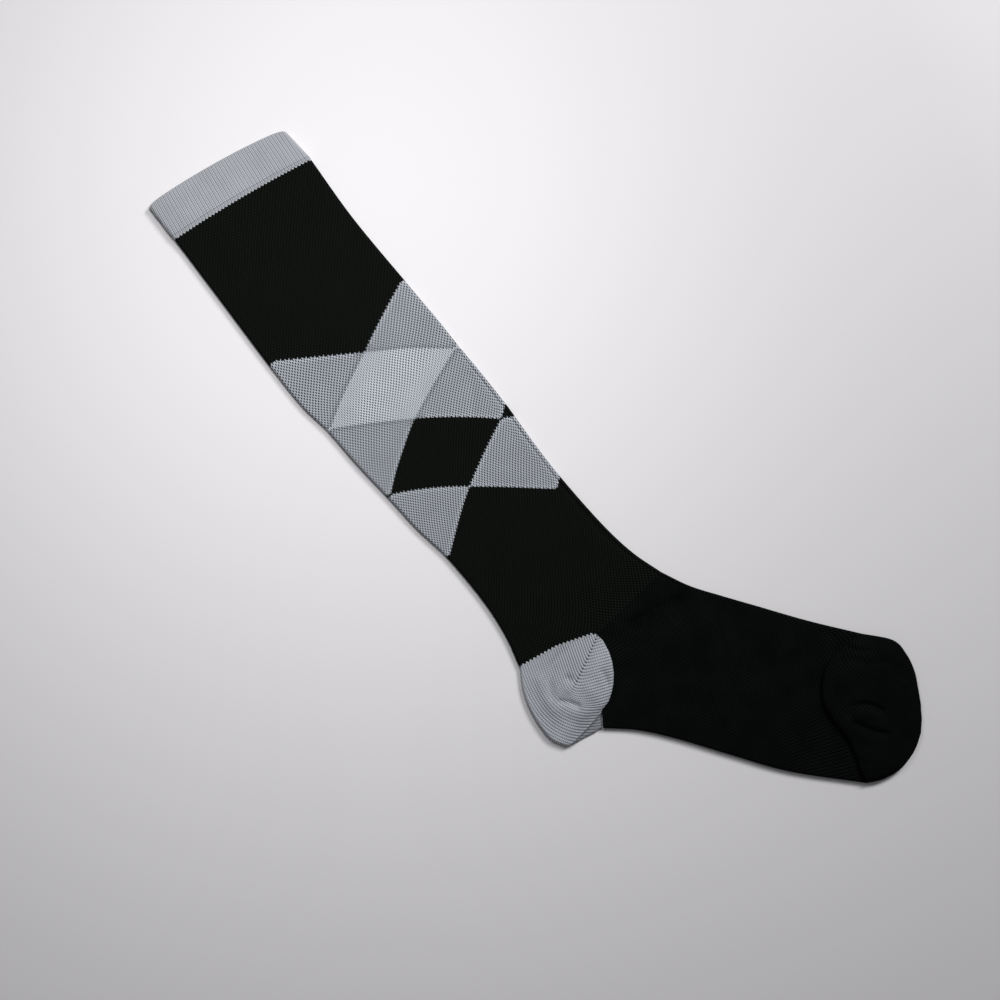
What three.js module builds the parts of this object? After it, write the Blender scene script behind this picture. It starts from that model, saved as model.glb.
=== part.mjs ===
// Knee-length compression stocking, laid flat on its side.
// Millimetres. X runs from the cuff down the leg, Y from the calf to the shin, Z is up.
// The places below are measured from the middle of the cuff's top edge, and the finished
// group is moved so that its origin is the middle of its box, on the surface it lies on.

import * as THREE from "three";

// Driving sizes
const SEAM_GAP = 0.3;
const HOLLOW = 0.8;
const WALL = { cuff: 1.9, leg: 1.4, heel: 1.6, foot: 1.4, toe: 1.6 };
const LEG_HEIGHT = 2 * WALL.leg + HOLLOW;
const CUFF_HEIGHT = 2 * WALL.cuff + HOLLOW;
const CUFF_RIBS = 65;
const CUFF_RIB_RELIEF = 0.16;
const CUFF_CORNER = 1.8;
const HEEL_RIBS = 33;
const HEEL_RIB_RELIEF = 0.14;
const HEEL_START = 2.6;
const HEEL_LINE_BULGE = 2.2;
const HEEL_HEIGHT = { leg: LEG_HEIGHT, edge: 4.6, apex: 5.2, crown: 6.9 };
const HEEL_INNER_TOP = { base: 4.8, share: 0.3 };
const HEEL_NARROW = 0.5;
const TOE_HEIGHT = 4.6;
const TOE_LIP = 2.0;
const TOE_PADDING = 0.8;
const TOE_LINING_START = 0.12;
const TOE_CAP_PUFF = { seam: 2.0, tip: 0.2, lining: 0.6, from: 1.4 };
const ROUND = 0.9;
const CUFF_LINING_SETBACK = 0.4;
const GREY_KNIT = { color: 0xa5a8ae, roughness: 0.93, metalness: 0 };
const BLACK_KNIT = { color: 0x111113, roughness: 0.88, metalness: 0 };

// Powers of the place across the tube that keep folds, an overlapping edge or a rounded
// corner to their own part of the width
const FOLD_FADE = 8;
const LIP_FADE = 6;
const CORNER_FADE = 14;

// How finely each wall is divided round the tube and along it
const PLAIN_COUNT = { top: 16, fold: 5, bottom: 8 };
const CUFF_COUNT = { top: 2 * CUFF_RIBS, fold: 8, bottom: 10 };
const HEEL_COUNT = { top: 2 * HEEL_RIBS, fold: 6, bottom: 10 };
const ROWS_PER_SPAN = { leg: 2, foot: 3, toe: 2 };

// The gore's inner end, where leg, heel and foot meet on each layer
const APEX = new THREE.Vector2(365.7, 8.4);

// Courses across the flat tube, from the fold at the back to the fold at the front.
// bow moves the middle toward the toe, and sharp turns the bowed line into a V.
const CUFF_SECTIONS = [
  { backX: -8.6, backY: -47.6, frontX: 6.9, frontY: 46.8, bow: -2.5, sharp: 0 },
  { backX: 5.0, backY: -47.4, frontX: 20.2, frontY: 48.6, bow: -2.0, sharp: 0 },
  { backX: 18.4, backY: -47.2, frontX: 33.4, frontY: 49.8, bow: -1.6, sharp: 0 },
];
const LEG_SECTIONS = [
  { backX: 18.4, backY: -46.9, frontX: 33.4, frontY: 49.0, bow: -1.6, sharp: 0 },
  { backX: 62.0, backY: -48.4, frontX: 74.0, frontY: 46.5, bow: 0, sharp: 0 },
  { backX: 112.9, backY: -49.4, frontX: 122.9, frontY: 47.9, bow: 0, sharp: 0 },
  { backX: 145.0, backY: -49.1, frontX: 154.0, frontY: 49.0, bow: 0, sharp: 0 },
  { backX: 167.4, backY: -46.0, frontX: 175.5, frontY: 49.3, bow: 0, sharp: 0 },
  { backX: 195.0, backY: -44.5, frontX: 200.0, frontY: 50.0, bow: 0, sharp: 0 },
  { backX: 221.6, backY: -42.0, frontX: 223.6, frontY: 50.1, bow: 0, sharp: 0 },
  { backX: 248.0, backY: -39.9, frontX: 251.0, frontY: 49.0, bow: 0, sharp: 0 },
  { backX: 273.6, backY: -36.0, frontX: 279.0, frontY: 49.1, bow: 1.0, sharp: 0 },
  { backX: 306.3, backY: -35.0, frontX: 315.5, frontY: 51.4, bow: 3.0, sharp: 0.1 },
  { backX: 331.8, backY: -37.3, frontX: 340.1, frontY: 55.3, bow: 6.5, sharp: 0.5 },
  { backX: 351.5, backY: -41.6, frontX: 360.5, frontY: 61.8, bow: "apex", sharp: 1,
    backBulge: HEEL_LINE_BULGE },
];
const FOOT_SECTIONS = [
  { backX: 414.6, backY: -25.2, frontX: 360.5, frontY: 61.8, bow: "apex", sharp: 1 },
  { backX: 428.6, backY: -8.2, frontX: 377.7, frontY: 70.3, bow: -12.0, sharp: 0.5 },
  { backX: 448.0, backY: 7.6, frontX: 394.2, frontY: 81.7, bow: -6.0, sharp: 0.1 },
  { backX: 474.0, backY: 26.0, frontX: 412.6, frontY: 95.0, bow: -3.0, sharp: 0 },
  { backX: 504.7, backY: 48.5, frontX: 439.1, frontY: 114.2, bow: -3.0, sharp: 0 },
];

// The toe cap's edge over the foot, from the sole fold to the instep fold
const TOE_EDGE = [
  { x: 537.0, y: 77.9 },
  { x: 513.0, y: 89.3 },
  { x: 485.5, y: 92.0 },
  { x: 467.4, y: 108.8 },
  { x: 463.9, y: 134.6 },
];
const TOE_SECTIONS = [
  { backX: 543.2, backY: 90.0, frontX: 480.0, frontY: 147.6, bow: -7.5, sharp: 0 },
  { backX: 545.0, backY: 101.0, frontX: 491.6, frontY: 148.9, bow: -3.5, sharp: 0 },
  { backX: 543.4, backY: 110.5, frontX: 502.2, frontY: 146.6, bow: -0.5, sharp: 0 },
  { backX: 540.4, backY: 118.2, frontX: 511.4, frontY: 142.2, bow: -1.5, sharp: 0 },
  { backX: 536.0, backY: 124.8, frontX: 519.0, frontY: 138.0, bow: 0, sharp: 0 },
];

// The heel pocket's fold, from the leg's back fold round the tip to the sole
const HEEL_OUTLINE = [
  { x: 351.5, y: -41.6 },
  { x: 364.0, y: -47.6 },
  { x: 376.3, y: -52.4 },
  { x: 389.5, y: -54.3 },
  { x: 402.0, y: -53.4 },
  { x: 409.2, y: -48.6 },
  { x: 413.6, y: -36.5 },
  { x: 415.6, y: -25.8 },
];
const GORE_END = 3;
const GORE_SHARE = GORE_END / (HEEL_OUTLINE.length - 1);
const HEEL_TURNS = [0, 0.1, 0.2, 0.3, GORE_SHARE, 0.54, 0.66, 0.78, 0.9];

// Where the heel's crown begins and is full, and where it falls and ends, from the apex
// out to the fold
const CROWN = { from: 0.05, full: 0.4, falls: 0.7, end: 0.97 };
const EDGE_END = 0.95;
const HEEL_RISE = { from: -0.05, full: 0.8, edgeFull: 0.5 };

// How far the heel's upper edge lies over the foot, along it from the apex to the sole
const HEEL_LIP = [
  { along: 0.06, over: 0.0 },
  { along: 0.14, over: 3.8 },
  { along: 0.29, over: 7.7 },
  { along: 0.45, over: 9.6 },
  { along: 0.6, over: 9.0 },
  { along: 0.77, over: 4.6 },
  { along: 0.92, over: -0.9 },
  { along: 1.0, over: -1.4 },
];

// The upper edge turns down and under: each row's share of the overhang and of the edge's
// height, and how far it stands back
const HEEL_LIP_ROWS = [
  { reach: 1, rise: 1, step: 1.6 },
  { reach: 1, rise: 0.55, step: 0.8 },
  { reach: 0.85, rise: 0, step: 0.4 },
  { reach: 0, rise: 0, step: 0 },
];

// The toe cap's edge turns down and under in the same way, from under its lip to its top:
// each row's shift down the cap, its reach over the foot in lips and its puff
const TOE_LIP_ROWS = [
  { shift: 0.5, reach: 0, puff: 0, raised: false },
  { shift: 2, reach: 0.7, puff: 0, raised: false },
  { shift: 3, reach: 1, puff: 0.5, raised: true, back: 3 },
  { shift: 5, reach: 0.5, puff: 1.8, raised: true, back: 4 },
];

// Soft ridges and troughs of the upper layer: the middle of each, its length and turn,
// half its width, and its height, which is negative in a trough
const FOLDS = [
  { x: 57, y: -12, length: 66, turn: 91, width: 8, height: -0.45 },
  { x: 76, y: -2, length: 52, turn: 88, width: 10, height: 0.5 },
  { x: 250, y: 6, length: 30, turn: 76, width: 10, height: 0.4 },
  { x: 340, y: 24, length: 40, turn: 70, width: 9, height: 0.5 },
  { x: 379, y: 47, length: 34, turn: 80, width: 6, height: -0.5 },
  { x: 398, y: 52, length: 42, turn: 76, width: 9, height: 0.9 },
  { x: 368, y: 34, length: 26, turn: 96, width: 5, height: 0.6 },
  { x: 448, y: 60, length: 46, turn: -46, width: 12, height: 0.4 },
  { x: 366, y: -24, length: 24, turn: -42, width: 4, height: -0.6 },
  { x: 385, y: -27, length: 16, turn: 50, width: 4, height: -0.6 },
  { x: 376, y: -10, length: 22, turn: 75, width: 6, height: 0.5 },
  { x: 499, y: 102, length: 12, turn: 95, width: 3, height: -1.0 },
  { x: 505, y: 112, length: 15, turn: 32, width: 3, height: -0.9 },
  { x: 510, y: 106, length: 24, turn: 45, width: 3.5, height: 0.9 },
  { x: 515, y: 102, length: 23, turn: 27, width: 3, height: -1.1 },
  { x: 521, y: 94, length: 24, turn: 16, width: 4, height: 0.7 },
  { x: 479, y: 108, length: 22, turn: 82, width: 5, height: 0.8 },
  { x: 472, y: 134, length: 11, turn: 46, width: 3, height: -0.8 },
];

const lerp = THREE.MathUtils.lerp;
const smoothstep = THREE.MathUtils.smoothstep;

function foldHeight(x, y) {
  let height = 0;
  for (const fold of FOLDS) {
    const turn = THREE.MathUtils.degToRad(fold.turn);
    const along = (x - fold.x) * Math.cos(turn) + (y - fold.y) * Math.sin(turn);
    const aside = (y - fold.y) * Math.cos(turn) - (x - fold.x) * Math.sin(turn);
    const past = Math.max(0, Math.abs(along) - fold.length / 2);
    height += fold.height * Math.exp(-(past * past + aside * aside) / (fold.width * fold.width));
  }
  return height;
}

// Five points across the flat tube, at -1, -0.5, 0, 0.5 and 1 of its half width
const ACROSS = [-1, -0.5, 0, 0.5, 1];

function sectionPoints(section) {
  const back = new THREE.Vector2(section.backX, section.backY);
  const front = new THREE.Vector2(section.frontX, section.frontY);
  const middle = back.clone().add(front).multiplyScalar(0.5);
  if (section.bow === "apex") {
    middle.copy(APEX);
  } else {
    const chord = front.clone().sub(back).normalize();
    middle.add(new THREE.Vector2(chord.y, -chord.x).multiplyScalar(section.bow));
  }
  return ACROSS.map((s) => {
    const end = s < 0 ? back : front;
    const straight = middle.clone().lerp(end, Math.abs(s));
    const swept = back.clone().add(front).multiplyScalar(0.5).sub(middle).multiplyScalar(s * s);
    swept.add(middle).add(front.clone().sub(back).multiplyScalar(0.5 * s));
    return swept.lerp(straight, section.sharp).sub(bulgeAt(section, back, middle, s));
  });
}

// The heel's upper line is bent toward the cuff halfway between the fold and the apex
function bulgeAt(section, back, middle, s) {
  const way = middle.clone().sub(back).normalize();
  return new THREE.Vector2(way.y, -way.x).multiplyScalar(s === -0.5 ? section.backBulge ?? 0 : 0);
}

// A smooth sheet through the sections: a place on it from the section's number, which may
// be a fraction, and the place across from -1 to 1
class Sheet {
  constructor(sections) {
    this.last = sections.length - 1;
    this.sharp = sections.map((section) => section.sharp ?? 0);
    this.lines = ACROSS.map((_, column) => {
      const points = sections.map((section) => section.points[column]);
      const inSpace = points.map((point) => new THREE.Vector3(point.x, point.y, 0));
      return new THREE.CatmullRomCurve3(inSpace, false, "catmullrom", 0.5);
    });
  }

  point(station, across) {
    const row = this.lines.map((line) => line.getPoint(station / this.last));
    const curve = new THREE.CatmullRomCurve3(row, false, "catmullrom", 0.5);
    const share = THREE.MathUtils.clamp((across + 1) / 2, 0, 1);
    const smooth = curve.getPoint(share);
    const low = Math.min(ACROSS.length - 2, Math.floor(share * 4));
    const straight = row[low].clone().lerp(row[low + 1], share * 4 - low);
    const before = Math.min(this.last - 1, Math.floor(station));
    const sharp = lerp(this.sharp[before], this.sharp[before + 1], station - before);
    return smooth.lerp(straight, sharp);
  }

  halfWidth(station) {
    let length = 0;
    for (let step = 0; step < 8; step += 1) {
      const from = this.point(station, -1 + step / 4);
      length += from.distanceTo(this.point(station, -1 + (step + 1) / 4));
    }
    return length / 2;
  }

  // The way down the sheet, toward its last section
  heading(station, across) {
    const low = Math.max(0, station - 0.05);
    const high = Math.min(this.last, station + 0.05);
    return this.point(high, across).sub(this.point(low, across)).normalize();
  }
}

// One ring of a wall round the flat tube: along the upper layer from back to front, round
// the front fold, back along the lower layer and round the back fold. The ring's row has
// its station, height and shift down the sheet, and raise(across, x, y, k) adds to the top.
function ring(sheet, row, inset, count) {
  const half = sheet.halfWidth(row.station);
  const radius = row.height / 2;
  const flat = 1 - radius / half;
  const inner = radius - inset;
  const points = [];
  const place = (across, z, upper) => {
    const point = sheet.point(row.station, across);
    const over = upper && row.over ? row.over * (1 - across ** LIP_FADE) : 0;
    const corner = row.corner ? row.corner * Math.abs(across) ** CORNER_FADE : 0;
    const shift = row.shift + over + corner;
    point.addScaledVector(sheet.heading(row.station, across), shift);
    point.z = z;
    points.push(point);
    return point;
  };
  for (let k = 0; k <= count.top; k += 1) {
    const across = flat * (2 * k / count.top - 1);
    const point = place(across, row.height - inset, true);
    const edge = k === 0 || k === count.top;
    point.z += edge ? 0 : row.raise(across, point.x, point.y, k, inset);
  }
  for (let k = 1; k < count.fold; k += 1) {
    const angle = Math.PI * (0.5 - k / count.fold);
    place(flat + inner * Math.cos(angle) / half, radius + inner * Math.sin(angle), false);
  }
  for (let k = 0; k <= count.bottom; k += 1) {
    place(flat * (1 - 2 * k / count.bottom), inset, false);
  }
  for (let k = 1; k < count.fold; k += 1) {
    const angle = Math.PI * (0.5 - k / count.fold);
    place(-flat - inner * Math.cos(angle) / half, radius - inner * Math.sin(angle), false);
  }
  return points;
}

// A closed wall between an outer and an inner grid of points. A grid is a list of rows.
// round joins each row's ends, and capped closes the last rows instead of joining them.
function wall(outer, inner, { round, capped }) {
  const positions = [];
  const faces = [];
  const add = (point) => {
    positions.push(point.x, point.y, point.z);
    return positions.length / 3 - 1;
  };
  const outerIndex = outer.map((row) => row.map(add));
  const innerIndex = inner.map((row) => row.map(add));
  const quad = (a, b, c, d) => faces.push(a, b, c, a, c, d);
  const columns = outer[0].length;
  const spans = round ? columns : columns - 1;
  const next = (column) => (column + 1) % columns;
  for (let column = 0; column < spans; column += 1) {
    const side = next(column);
    for (let row = 0; row + 1 < outer.length; row += 1) {
      const low = outerIndex[row];
      const high = outerIndex[row + 1];
      quad(low[column], low[side], high[side], high[column]);
    }
    for (let row = 0; row + 1 < inner.length; row += 1) {
      const low = innerIndex[row];
      const high = innerIndex[row + 1];
      quad(low[side], low[column], high[column], high[side]);
    }
    quad(innerIndex[0][column], innerIndex[0][side], outerIndex[0][side], outerIndex[0][column]);
    if (!capped) {
      const from = outerIndex.at(-1);
      const to = innerIndex.at(-1);
      quad(from[column], from[side], to[side], to[column]);
    }
  }
  if (capped) {
    const outerTip = add(capped.outer);
    const innerTip = add(capped.inner);
    for (let column = 0; column < spans; column += 1) {
      faces.push(outerIndex.at(-1)[column], outerIndex.at(-1)[next(column)], outerTip);
      faces.push(innerIndex.at(-1)[next(column)], innerIndex.at(-1)[column], innerTip);
    }
  }
  if (!round) {
    for (let row = 0; row + 1 < outer.length; row += 1) {
      const last = columns - 1;
      quad(outerIndex[row][0], outerIndex[row + 1][0], innerIndex[row + 1][0], innerIndex[row][0]);
      quad(
        innerIndex[row][last],
        innerIndex[row + 1][last],
        outerIndex[row + 1][last],
        outerIndex[row][last],
      );
    }
  }
  return solid(positions, faces);
}

// A geometry from its points and faces, turned inside out if its volume is negative
function solid(positions, faces) {
  const corner = (index) => new THREE.Vector3().fromArray(positions, 3 * index);
  let volume = 0;
  for (let face = 0; face < faces.length; face += 3) {
    const first = corner(faces[face]);
    volume += first.dot(corner(faces[face + 1]).cross(corner(faces[face + 2])));
  }
  const index = volume > 0 ? faces : faces.slice().reverse();
  const geometry = new THREE.BufferGeometry();
  geometry.setAttribute("position", new THREE.Float32BufferAttribute(positions, 3));
  geometry.setIndex(index);
  geometry.computeVertexNormals();
  return geometry;
}

function piece(name, geometry, finish) {
  const mesh = new THREE.Mesh(geometry, new THREE.MeshStandardMaterial(finish));
  mesh.name = name;
  return mesh;
}

const withPoints = (section) => ({ ...section, points: sectionPoints(section) });
const nothing = () => 0;

// The turned welt: a thicker band with fine ribs on its outer face
function cuff() {
  const sheet = new Sheet(CUFF_SECTIONS.map(withPoints));
  const ribs = (across, x, y, k) => (k % 2 ? CUFF_RIB_RELIEF : -CUFF_RIB_RELIEF);
  const row = (station, shift, height, raise) => ({
    station,
    shift,
    height,
    raise,
    corner: station === 0 ? CUFF_CORNER : 0,
  });
  const outer = [
    row(0, 0, CUFF_HEIGHT - ROUND, nothing),
    row(0, ROUND, CUFF_HEIGHT, ribs),
    row(1, 0, CUFF_HEIGHT, ribs),
    row(2, -SEAM_GAP / 2, CUFF_HEIGHT, ribs),
  ];
  const inner = [
    row(0, CUFF_LINING_SETBACK, CUFF_HEIGHT, nothing),
    row(1, 0, CUFF_HEIGHT, nothing),
    row(2, -SEAM_GAP / 2, CUFF_HEIGHT, nothing),
  ];
  return wall(
    outer.map((each) => ring(sheet, each, 0, CUFF_COUNT)),
    inner.map((each) => ring(sheet, each, WALL.cuff, CUFF_COUNT)),
    { round: true },
  );
}

// A plain tube with its soft folds, from one seam to the next. calm is the folds' share at
// a station and a place across, so that they fade out under a neighbour's edge.
function tube(sheet, wallSize, perSpan, calm) {
  const total = sheet.last * perSpan;
  const rows = [];
  for (let step = 0; step <= total; step += 1) {
    const station = step / perSpan;
    const ends = (step === 0) - (step === total);
    const raise = (across, x, y) => {
      const flattened = 1 - across ** FOLD_FADE;
      return foldHeight(x, y) * flattened * calm(station, across);
    };
    rows.push({ station, shift: ends * SEAM_GAP / 2, height: LEG_HEIGHT, raise });
  }
  return wall(
    rows.map((row) => ring(sheet, row, 0, PLAIN_COUNT)),
    rows.map((row) => ring(sheet, row, wallSize, PLAIN_COUNT)),
    { round: true },
  );
}

const toeEdge = { points: TOE_EDGE.map((point) => new THREE.Vector2(point.x, point.y)) };

// The closed cap, puffed, with its upper edge lying a little over the foot
function toe() {
  const sheet = new Sheet([toeEdge, ...TOE_SECTIONS.map(withPoints)]);
  const clear = LEG_HEIGHT + SEAM_GAP;
  const puffed = (puff) => (across, x, y) => {
    const room = Math.min(1, 3 * (1 - across * across));
    return room * (puff + foldHeight(x, y));
  };
  const outer = TOE_LIP_ROWS.map(({ shift, reach, puff, raised, back = 0 }) => ({
    station: 0,
    shift: shift * SEAM_GAP,
    over: -reach * TOE_LIP - back * SEAM_GAP,
    height: raised ? TOE_HEIGHT : clear,
    raise: raised ? puffed(puff) : nothing,
  }));
  const inner = [
    { station: 0, shift: SEAM_GAP / 2, height: LEG_HEIGHT, raise: nothing },
    { station: TOE_LINING_START, shift: 0, height: TOE_HEIGHT, raise: puffed(TOE_CAP_PUFF.lining) },
  ];
  const total = sheet.last * ROWS_PER_SPAN.toe;
  for (let step = 1; step <= total; step += 1) {
    const station = step / ROWS_PER_SPAN.toe;
    const falls = smoothstep(station, TOE_CAP_PUFF.from, sheet.last);
    const puff = lerp(TOE_CAP_PUFF.seam, TOE_CAP_PUFF.tip, falls);
    outer.push({ station, shift: 0, height: TOE_HEIGHT, raise: puffed(puff) });
    if (step < total) {
      inner.push({ station, shift: 0, height: TOE_HEIGHT, raise: puffed(puff - TOE_PADDING) });
    }
  }
  outer.push({ station: sheet.last, shift: ROUND, height: TOE_HEIGHT - ROUND, raise: nothing });
  const tip = (station, shift) => {
    const point = sheet.point(station, 0);
    point.addScaledVector(sheet.heading(station, 0), shift);
    point.z = TOE_HEIGHT / 2;
    return point;
  };
  const innerEnd = sheet.last - 1 / ROWS_PER_SPAN.toe;
  return wall(
    outer.map((row) => ring(sheet, row, 0, PLAIN_COUNT)),
    inner.map((row) => ring(sheet, row, WALL.toe, PLAIN_COUNT)),
    { round: true, capped: { outer: tip(sheet.last, 1.5 * ROUND), inner: tip(innerEnd, 0) } },
  );
}

// Value of a column at a place along a short table
function along(table, key, column, place) {
  for (let row = 1; row < table.length; row += 1) {
    const low = table[row - 1];
    const high = table[row];
    if (place <= high[key]) {
      const share = THREE.MathUtils.clamp((place - low[key]) / (high[key] - low[key]), 0, 1);
      return lerp(low[column], high[column], share * share * (3 - 2 * share));
    }
  }
  return table.at(-1)[column];
}

// The pocket: rows fan round the apex from the leg's line to the foot's, each running from
// the apex out along the upper layer, round the fold and back along the lower layer
function heel() {
  const outline = new THREE.CatmullRomCurve3(
    HEEL_OUTLINE.map((point) => new THREE.Vector3(point.x, point.y, 0)),
    false,
    "catmullrom",
    0.5,
  );
  const apex = new THREE.Vector3(APEX.x, APEX.y, 0);
  const legEnd = outline.getPoint(0);
  const goreEnd = outline.getPoint(GORE_SHARE);
  const soleEnd = outline.getPoint(1);
  const legWay = legEnd.clone().sub(apex).normalize();
  const footWay = soleEnd.clone().sub(apex).normalize();
  const fromLeg = new THREE.Vector3(-legWay.y, legWay.x, 0);
  const overFoot = new THREE.Vector3(-footWay.y, footWay.x, 0);
  const place = (turn, out, shift) => {
    const first = turn < GORE_SHARE;
    const share = first ? turn / GORE_SHARE : (turn - GORE_SHARE) / (1 - GORE_SHARE);
    const from = first ? legEnd : goreEnd;
    const chord = from.clone().lerp(first ? goreEnd : soleEnd, share);
    const bulge = outline.getPoint(turn).sub(chord).multiplyScalar(out ** 3);
    const point = apex.clone().lerp(chord, out).add(bulge);
    const bulged = Math.max(0, 1 - turn / GORE_SHARE) * (1 - Math.abs(2 * out - 1));
    point.addScaledVector(fromLeg, SEAM_GAP / 2 * (1 - turn) - HEEL_LINE_BULGE * bulged);
    return point.addScaledVector(overFoot, shift - SEAM_GAP / 2 * turn);
  };
  const crown = (out) => {
    const falls = smoothstep(out, CROWN.falls, CROWN.end);
    return smoothstep(out, CROWN.from, CROWN.full) * (1 - falls);
  };
  const line = (row, inset) => {
    const length = apex.distanceTo(outline.getPoint(row.turn));
    const radius = row.edge / 2;
    const inside = radius - inset;
    const start = HEEL_START / length;
    const end = 1 - radius / length;
    const points = [];
    const push = (out, z, upper) => {
      const narrow = THREE.MathUtils.clamp(out / HEEL_NARROW, 0.05, 1);
      const point = place(row.turn, out, (upper ? row.over(out) : 0) - row.step * narrow);
      point.z = z;
      points.push(point);
      return point;
    };
    for (let k = 0; k <= HEEL_COUNT.top; k += 1) {
      const out = lerp(start, end, k / HEEL_COUNT.top);
      const point = push(out, 0, true);
      const rib = k % 2 ? HEEL_RIB_RELIEF : -HEEL_RIB_RELIEF;
      const folds = foldHeight(point.x, point.y) * crown(out) * row.soft;
      point.z = row.top(out) + folds - inset + (inset ? 0 : rib * row.ribbed);
    }
    for (let k = 1; k < HEEL_COUNT.fold; k += 1) {
      const angle = Math.PI * (0.5 - k / HEEL_COUNT.fold);
      const out = end + inside * Math.cos(angle) / length;
      push(out, radius + inside * Math.sin(angle), false);
    }
    for (let k = 0; k <= HEEL_COUNT.bottom; k += 1) {
      push(lerp(end, start, k / HEEL_COUNT.bottom), inset, false);
    }
    return points;
  };
  const overhang = (out) => along(HEEL_LIP, "along", "over", out);
  const clear = LEG_HEIGHT + SEAM_GAP;
  const lipTop = (out) => lerp(HEEL_HEIGHT.apex, HEEL_HEIGHT.crown, crown(out));
  const edgeTop = (out, edge) => lerp(lipTop(out), edge, smoothstep(out, CROWN.falls, EDGE_END));
  const outer = [];
  const inner = [];
  for (const turn of HEEL_TURNS) {
    const rise = smoothstep(turn, HEEL_RISE.from, HEEL_RISE.full);
    const edgeRise = smoothstep(turn, 0, HEEL_RISE.edgeFull);
    const edge = lerp(HEEL_HEIGHT.leg, HEEL_HEIGHT.edge, edgeRise);
    const top = (out) => lerp(edge, edgeTop(out, edge), turn ? rise : 0);
    const over = (out) => overhang(out) * turn ** 3;
    outer.push({ turn, edge, top, over, step: 0, ribbed: 1, soft: turn ? 1 : 0 });
    const low = (out) => {
      return Math.min(top(out), HEEL_INNER_TOP.base + HEEL_INNER_TOP.share * top(out));
    };
    inner.push({ turn, edge, top: low, over: nothing, step: 0, ribbed: 0, soft: turn ? 0.5 : 0 });
  }
  for (const { reach, rise, step } of HEEL_LIP_ROWS) {
    const edge = rise ? HEEL_HEIGHT.edge : clear;
    const top = (out) => lerp(clear, edgeTop(out, HEEL_HEIGHT.edge), rise);
    const over = (out) => reach * overhang(out);
    outer.push({ turn: 1, edge, top, over, step, ribbed: rise === 1 ? 1 : 0, soft: 0 });
    const low = () => LEG_HEIGHT;
    inner.push({ turn: 1, edge: LEG_HEIGHT, top: low, over: nothing, step, ribbed: 0, soft: 0 });
  }
  return wall(
    outer.map((row) => line(row, 0)),
    inner.map((row) => line(row, WALL.heel)),
    { round: false },
  );
}

const legSheet = new Sheet(LEG_SECTIONS.map(withPoints));
const footSheet = new Sheet([...FOOT_SECTIONS.map(withPoints), toeEdge]);
const underHeel = (station, across) => {
  const instep = smoothstep(across, -0.05, 0.25);
  return lerp(smoothstep(station, 0.6, 1.6), 1, instep);
};
const underToe = (station) => smoothstep(footSheet.last - station, 0.1, 0.7);
const footCalm = (station, across) => underHeel(station, across) * underToe(station);

const group = new THREE.Group();
group.add(piece("cuff", cuff(), GREY_KNIT));
group.add(piece("leg", tube(legSheet, WALL.leg, ROWS_PER_SPAN.leg, () => 1), BLACK_KNIT));
group.add(piece("heel", heel(), GREY_KNIT));
group.add(piece("foot", tube(footSheet, WALL.foot, ROWS_PER_SPAN.foot, footCalm), BLACK_KNIT));
group.add(piece("toe", toe(), BLACK_KNIT));

// Stand the stocking's box over the origin
const box = new THREE.Box3().setFromObject(group);
const centre = box.getCenter(new THREE.Vector3());
group.position.set(-centre.x, -centre.y, -box.min.z);

export default group;
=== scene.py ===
# Knee-length compression stocking in its knits, laid flat on its side on a pale table top.
# Lengths in the tables are millimetres from the middle of the cuff's top edge, with x down
# the leg, y from the calf to the shin and z up. The operators turn them into metres.

import math
from functools import partial

import bpy
import numpy as np
from bpy.props import FloatProperty, FloatVectorProperty, IntProperty, PointerProperty
from bpy.types import Operator, Panel, PropertyGroup
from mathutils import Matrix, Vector


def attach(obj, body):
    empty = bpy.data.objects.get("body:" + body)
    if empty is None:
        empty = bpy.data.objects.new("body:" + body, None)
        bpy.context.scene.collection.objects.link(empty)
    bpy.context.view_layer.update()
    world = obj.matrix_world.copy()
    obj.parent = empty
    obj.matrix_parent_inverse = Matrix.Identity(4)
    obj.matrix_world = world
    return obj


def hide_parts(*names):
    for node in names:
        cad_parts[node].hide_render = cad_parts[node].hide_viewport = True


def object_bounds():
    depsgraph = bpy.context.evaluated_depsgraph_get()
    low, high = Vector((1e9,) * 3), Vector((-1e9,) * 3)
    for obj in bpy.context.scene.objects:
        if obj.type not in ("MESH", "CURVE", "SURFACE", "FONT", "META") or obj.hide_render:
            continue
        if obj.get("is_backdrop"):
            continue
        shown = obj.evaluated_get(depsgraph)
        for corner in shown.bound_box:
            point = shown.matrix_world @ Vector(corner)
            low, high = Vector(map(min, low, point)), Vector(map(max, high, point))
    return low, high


bl_info = {
    "name": "Compression Stocking",
    "version": (1, 0, 0),
    "blender": (4, 5, 0),
    "location": "3D View > Sidebar > Stocking",
    "description": "Makes the cuff, leg, heel, foot and toe of a knee-length compression stocking",
    "category": "Add Mesh",
}

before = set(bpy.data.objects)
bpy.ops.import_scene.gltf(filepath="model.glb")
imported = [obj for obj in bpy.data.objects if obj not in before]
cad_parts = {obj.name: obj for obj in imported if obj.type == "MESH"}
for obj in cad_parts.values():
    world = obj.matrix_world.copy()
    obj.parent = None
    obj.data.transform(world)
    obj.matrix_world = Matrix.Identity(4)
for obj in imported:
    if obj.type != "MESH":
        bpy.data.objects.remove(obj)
PART_BOX = [list(corner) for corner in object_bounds()]

MM = 0.001

# The middle of the whole part's box, which is the origin of the frame
CENTRE = np.array([268.53, 47.37])

# The gore's inner end, where leg, heel and foot meet on each layer
APEX = np.array([365.7, 8.4])

# A quarter of the way round the leg, which is half the width of one argyle diamond
QUARTER = 45.6
DIAMOND = 54.0
DIAMOND_ROWS = 3

HEEL_BULGE = 2.5
HEEL_TOP = {"leg": 3.6, "edge": 4.3, "apex": 5.2, "crown": 7.9}
HEEL_START = 1.5

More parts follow.
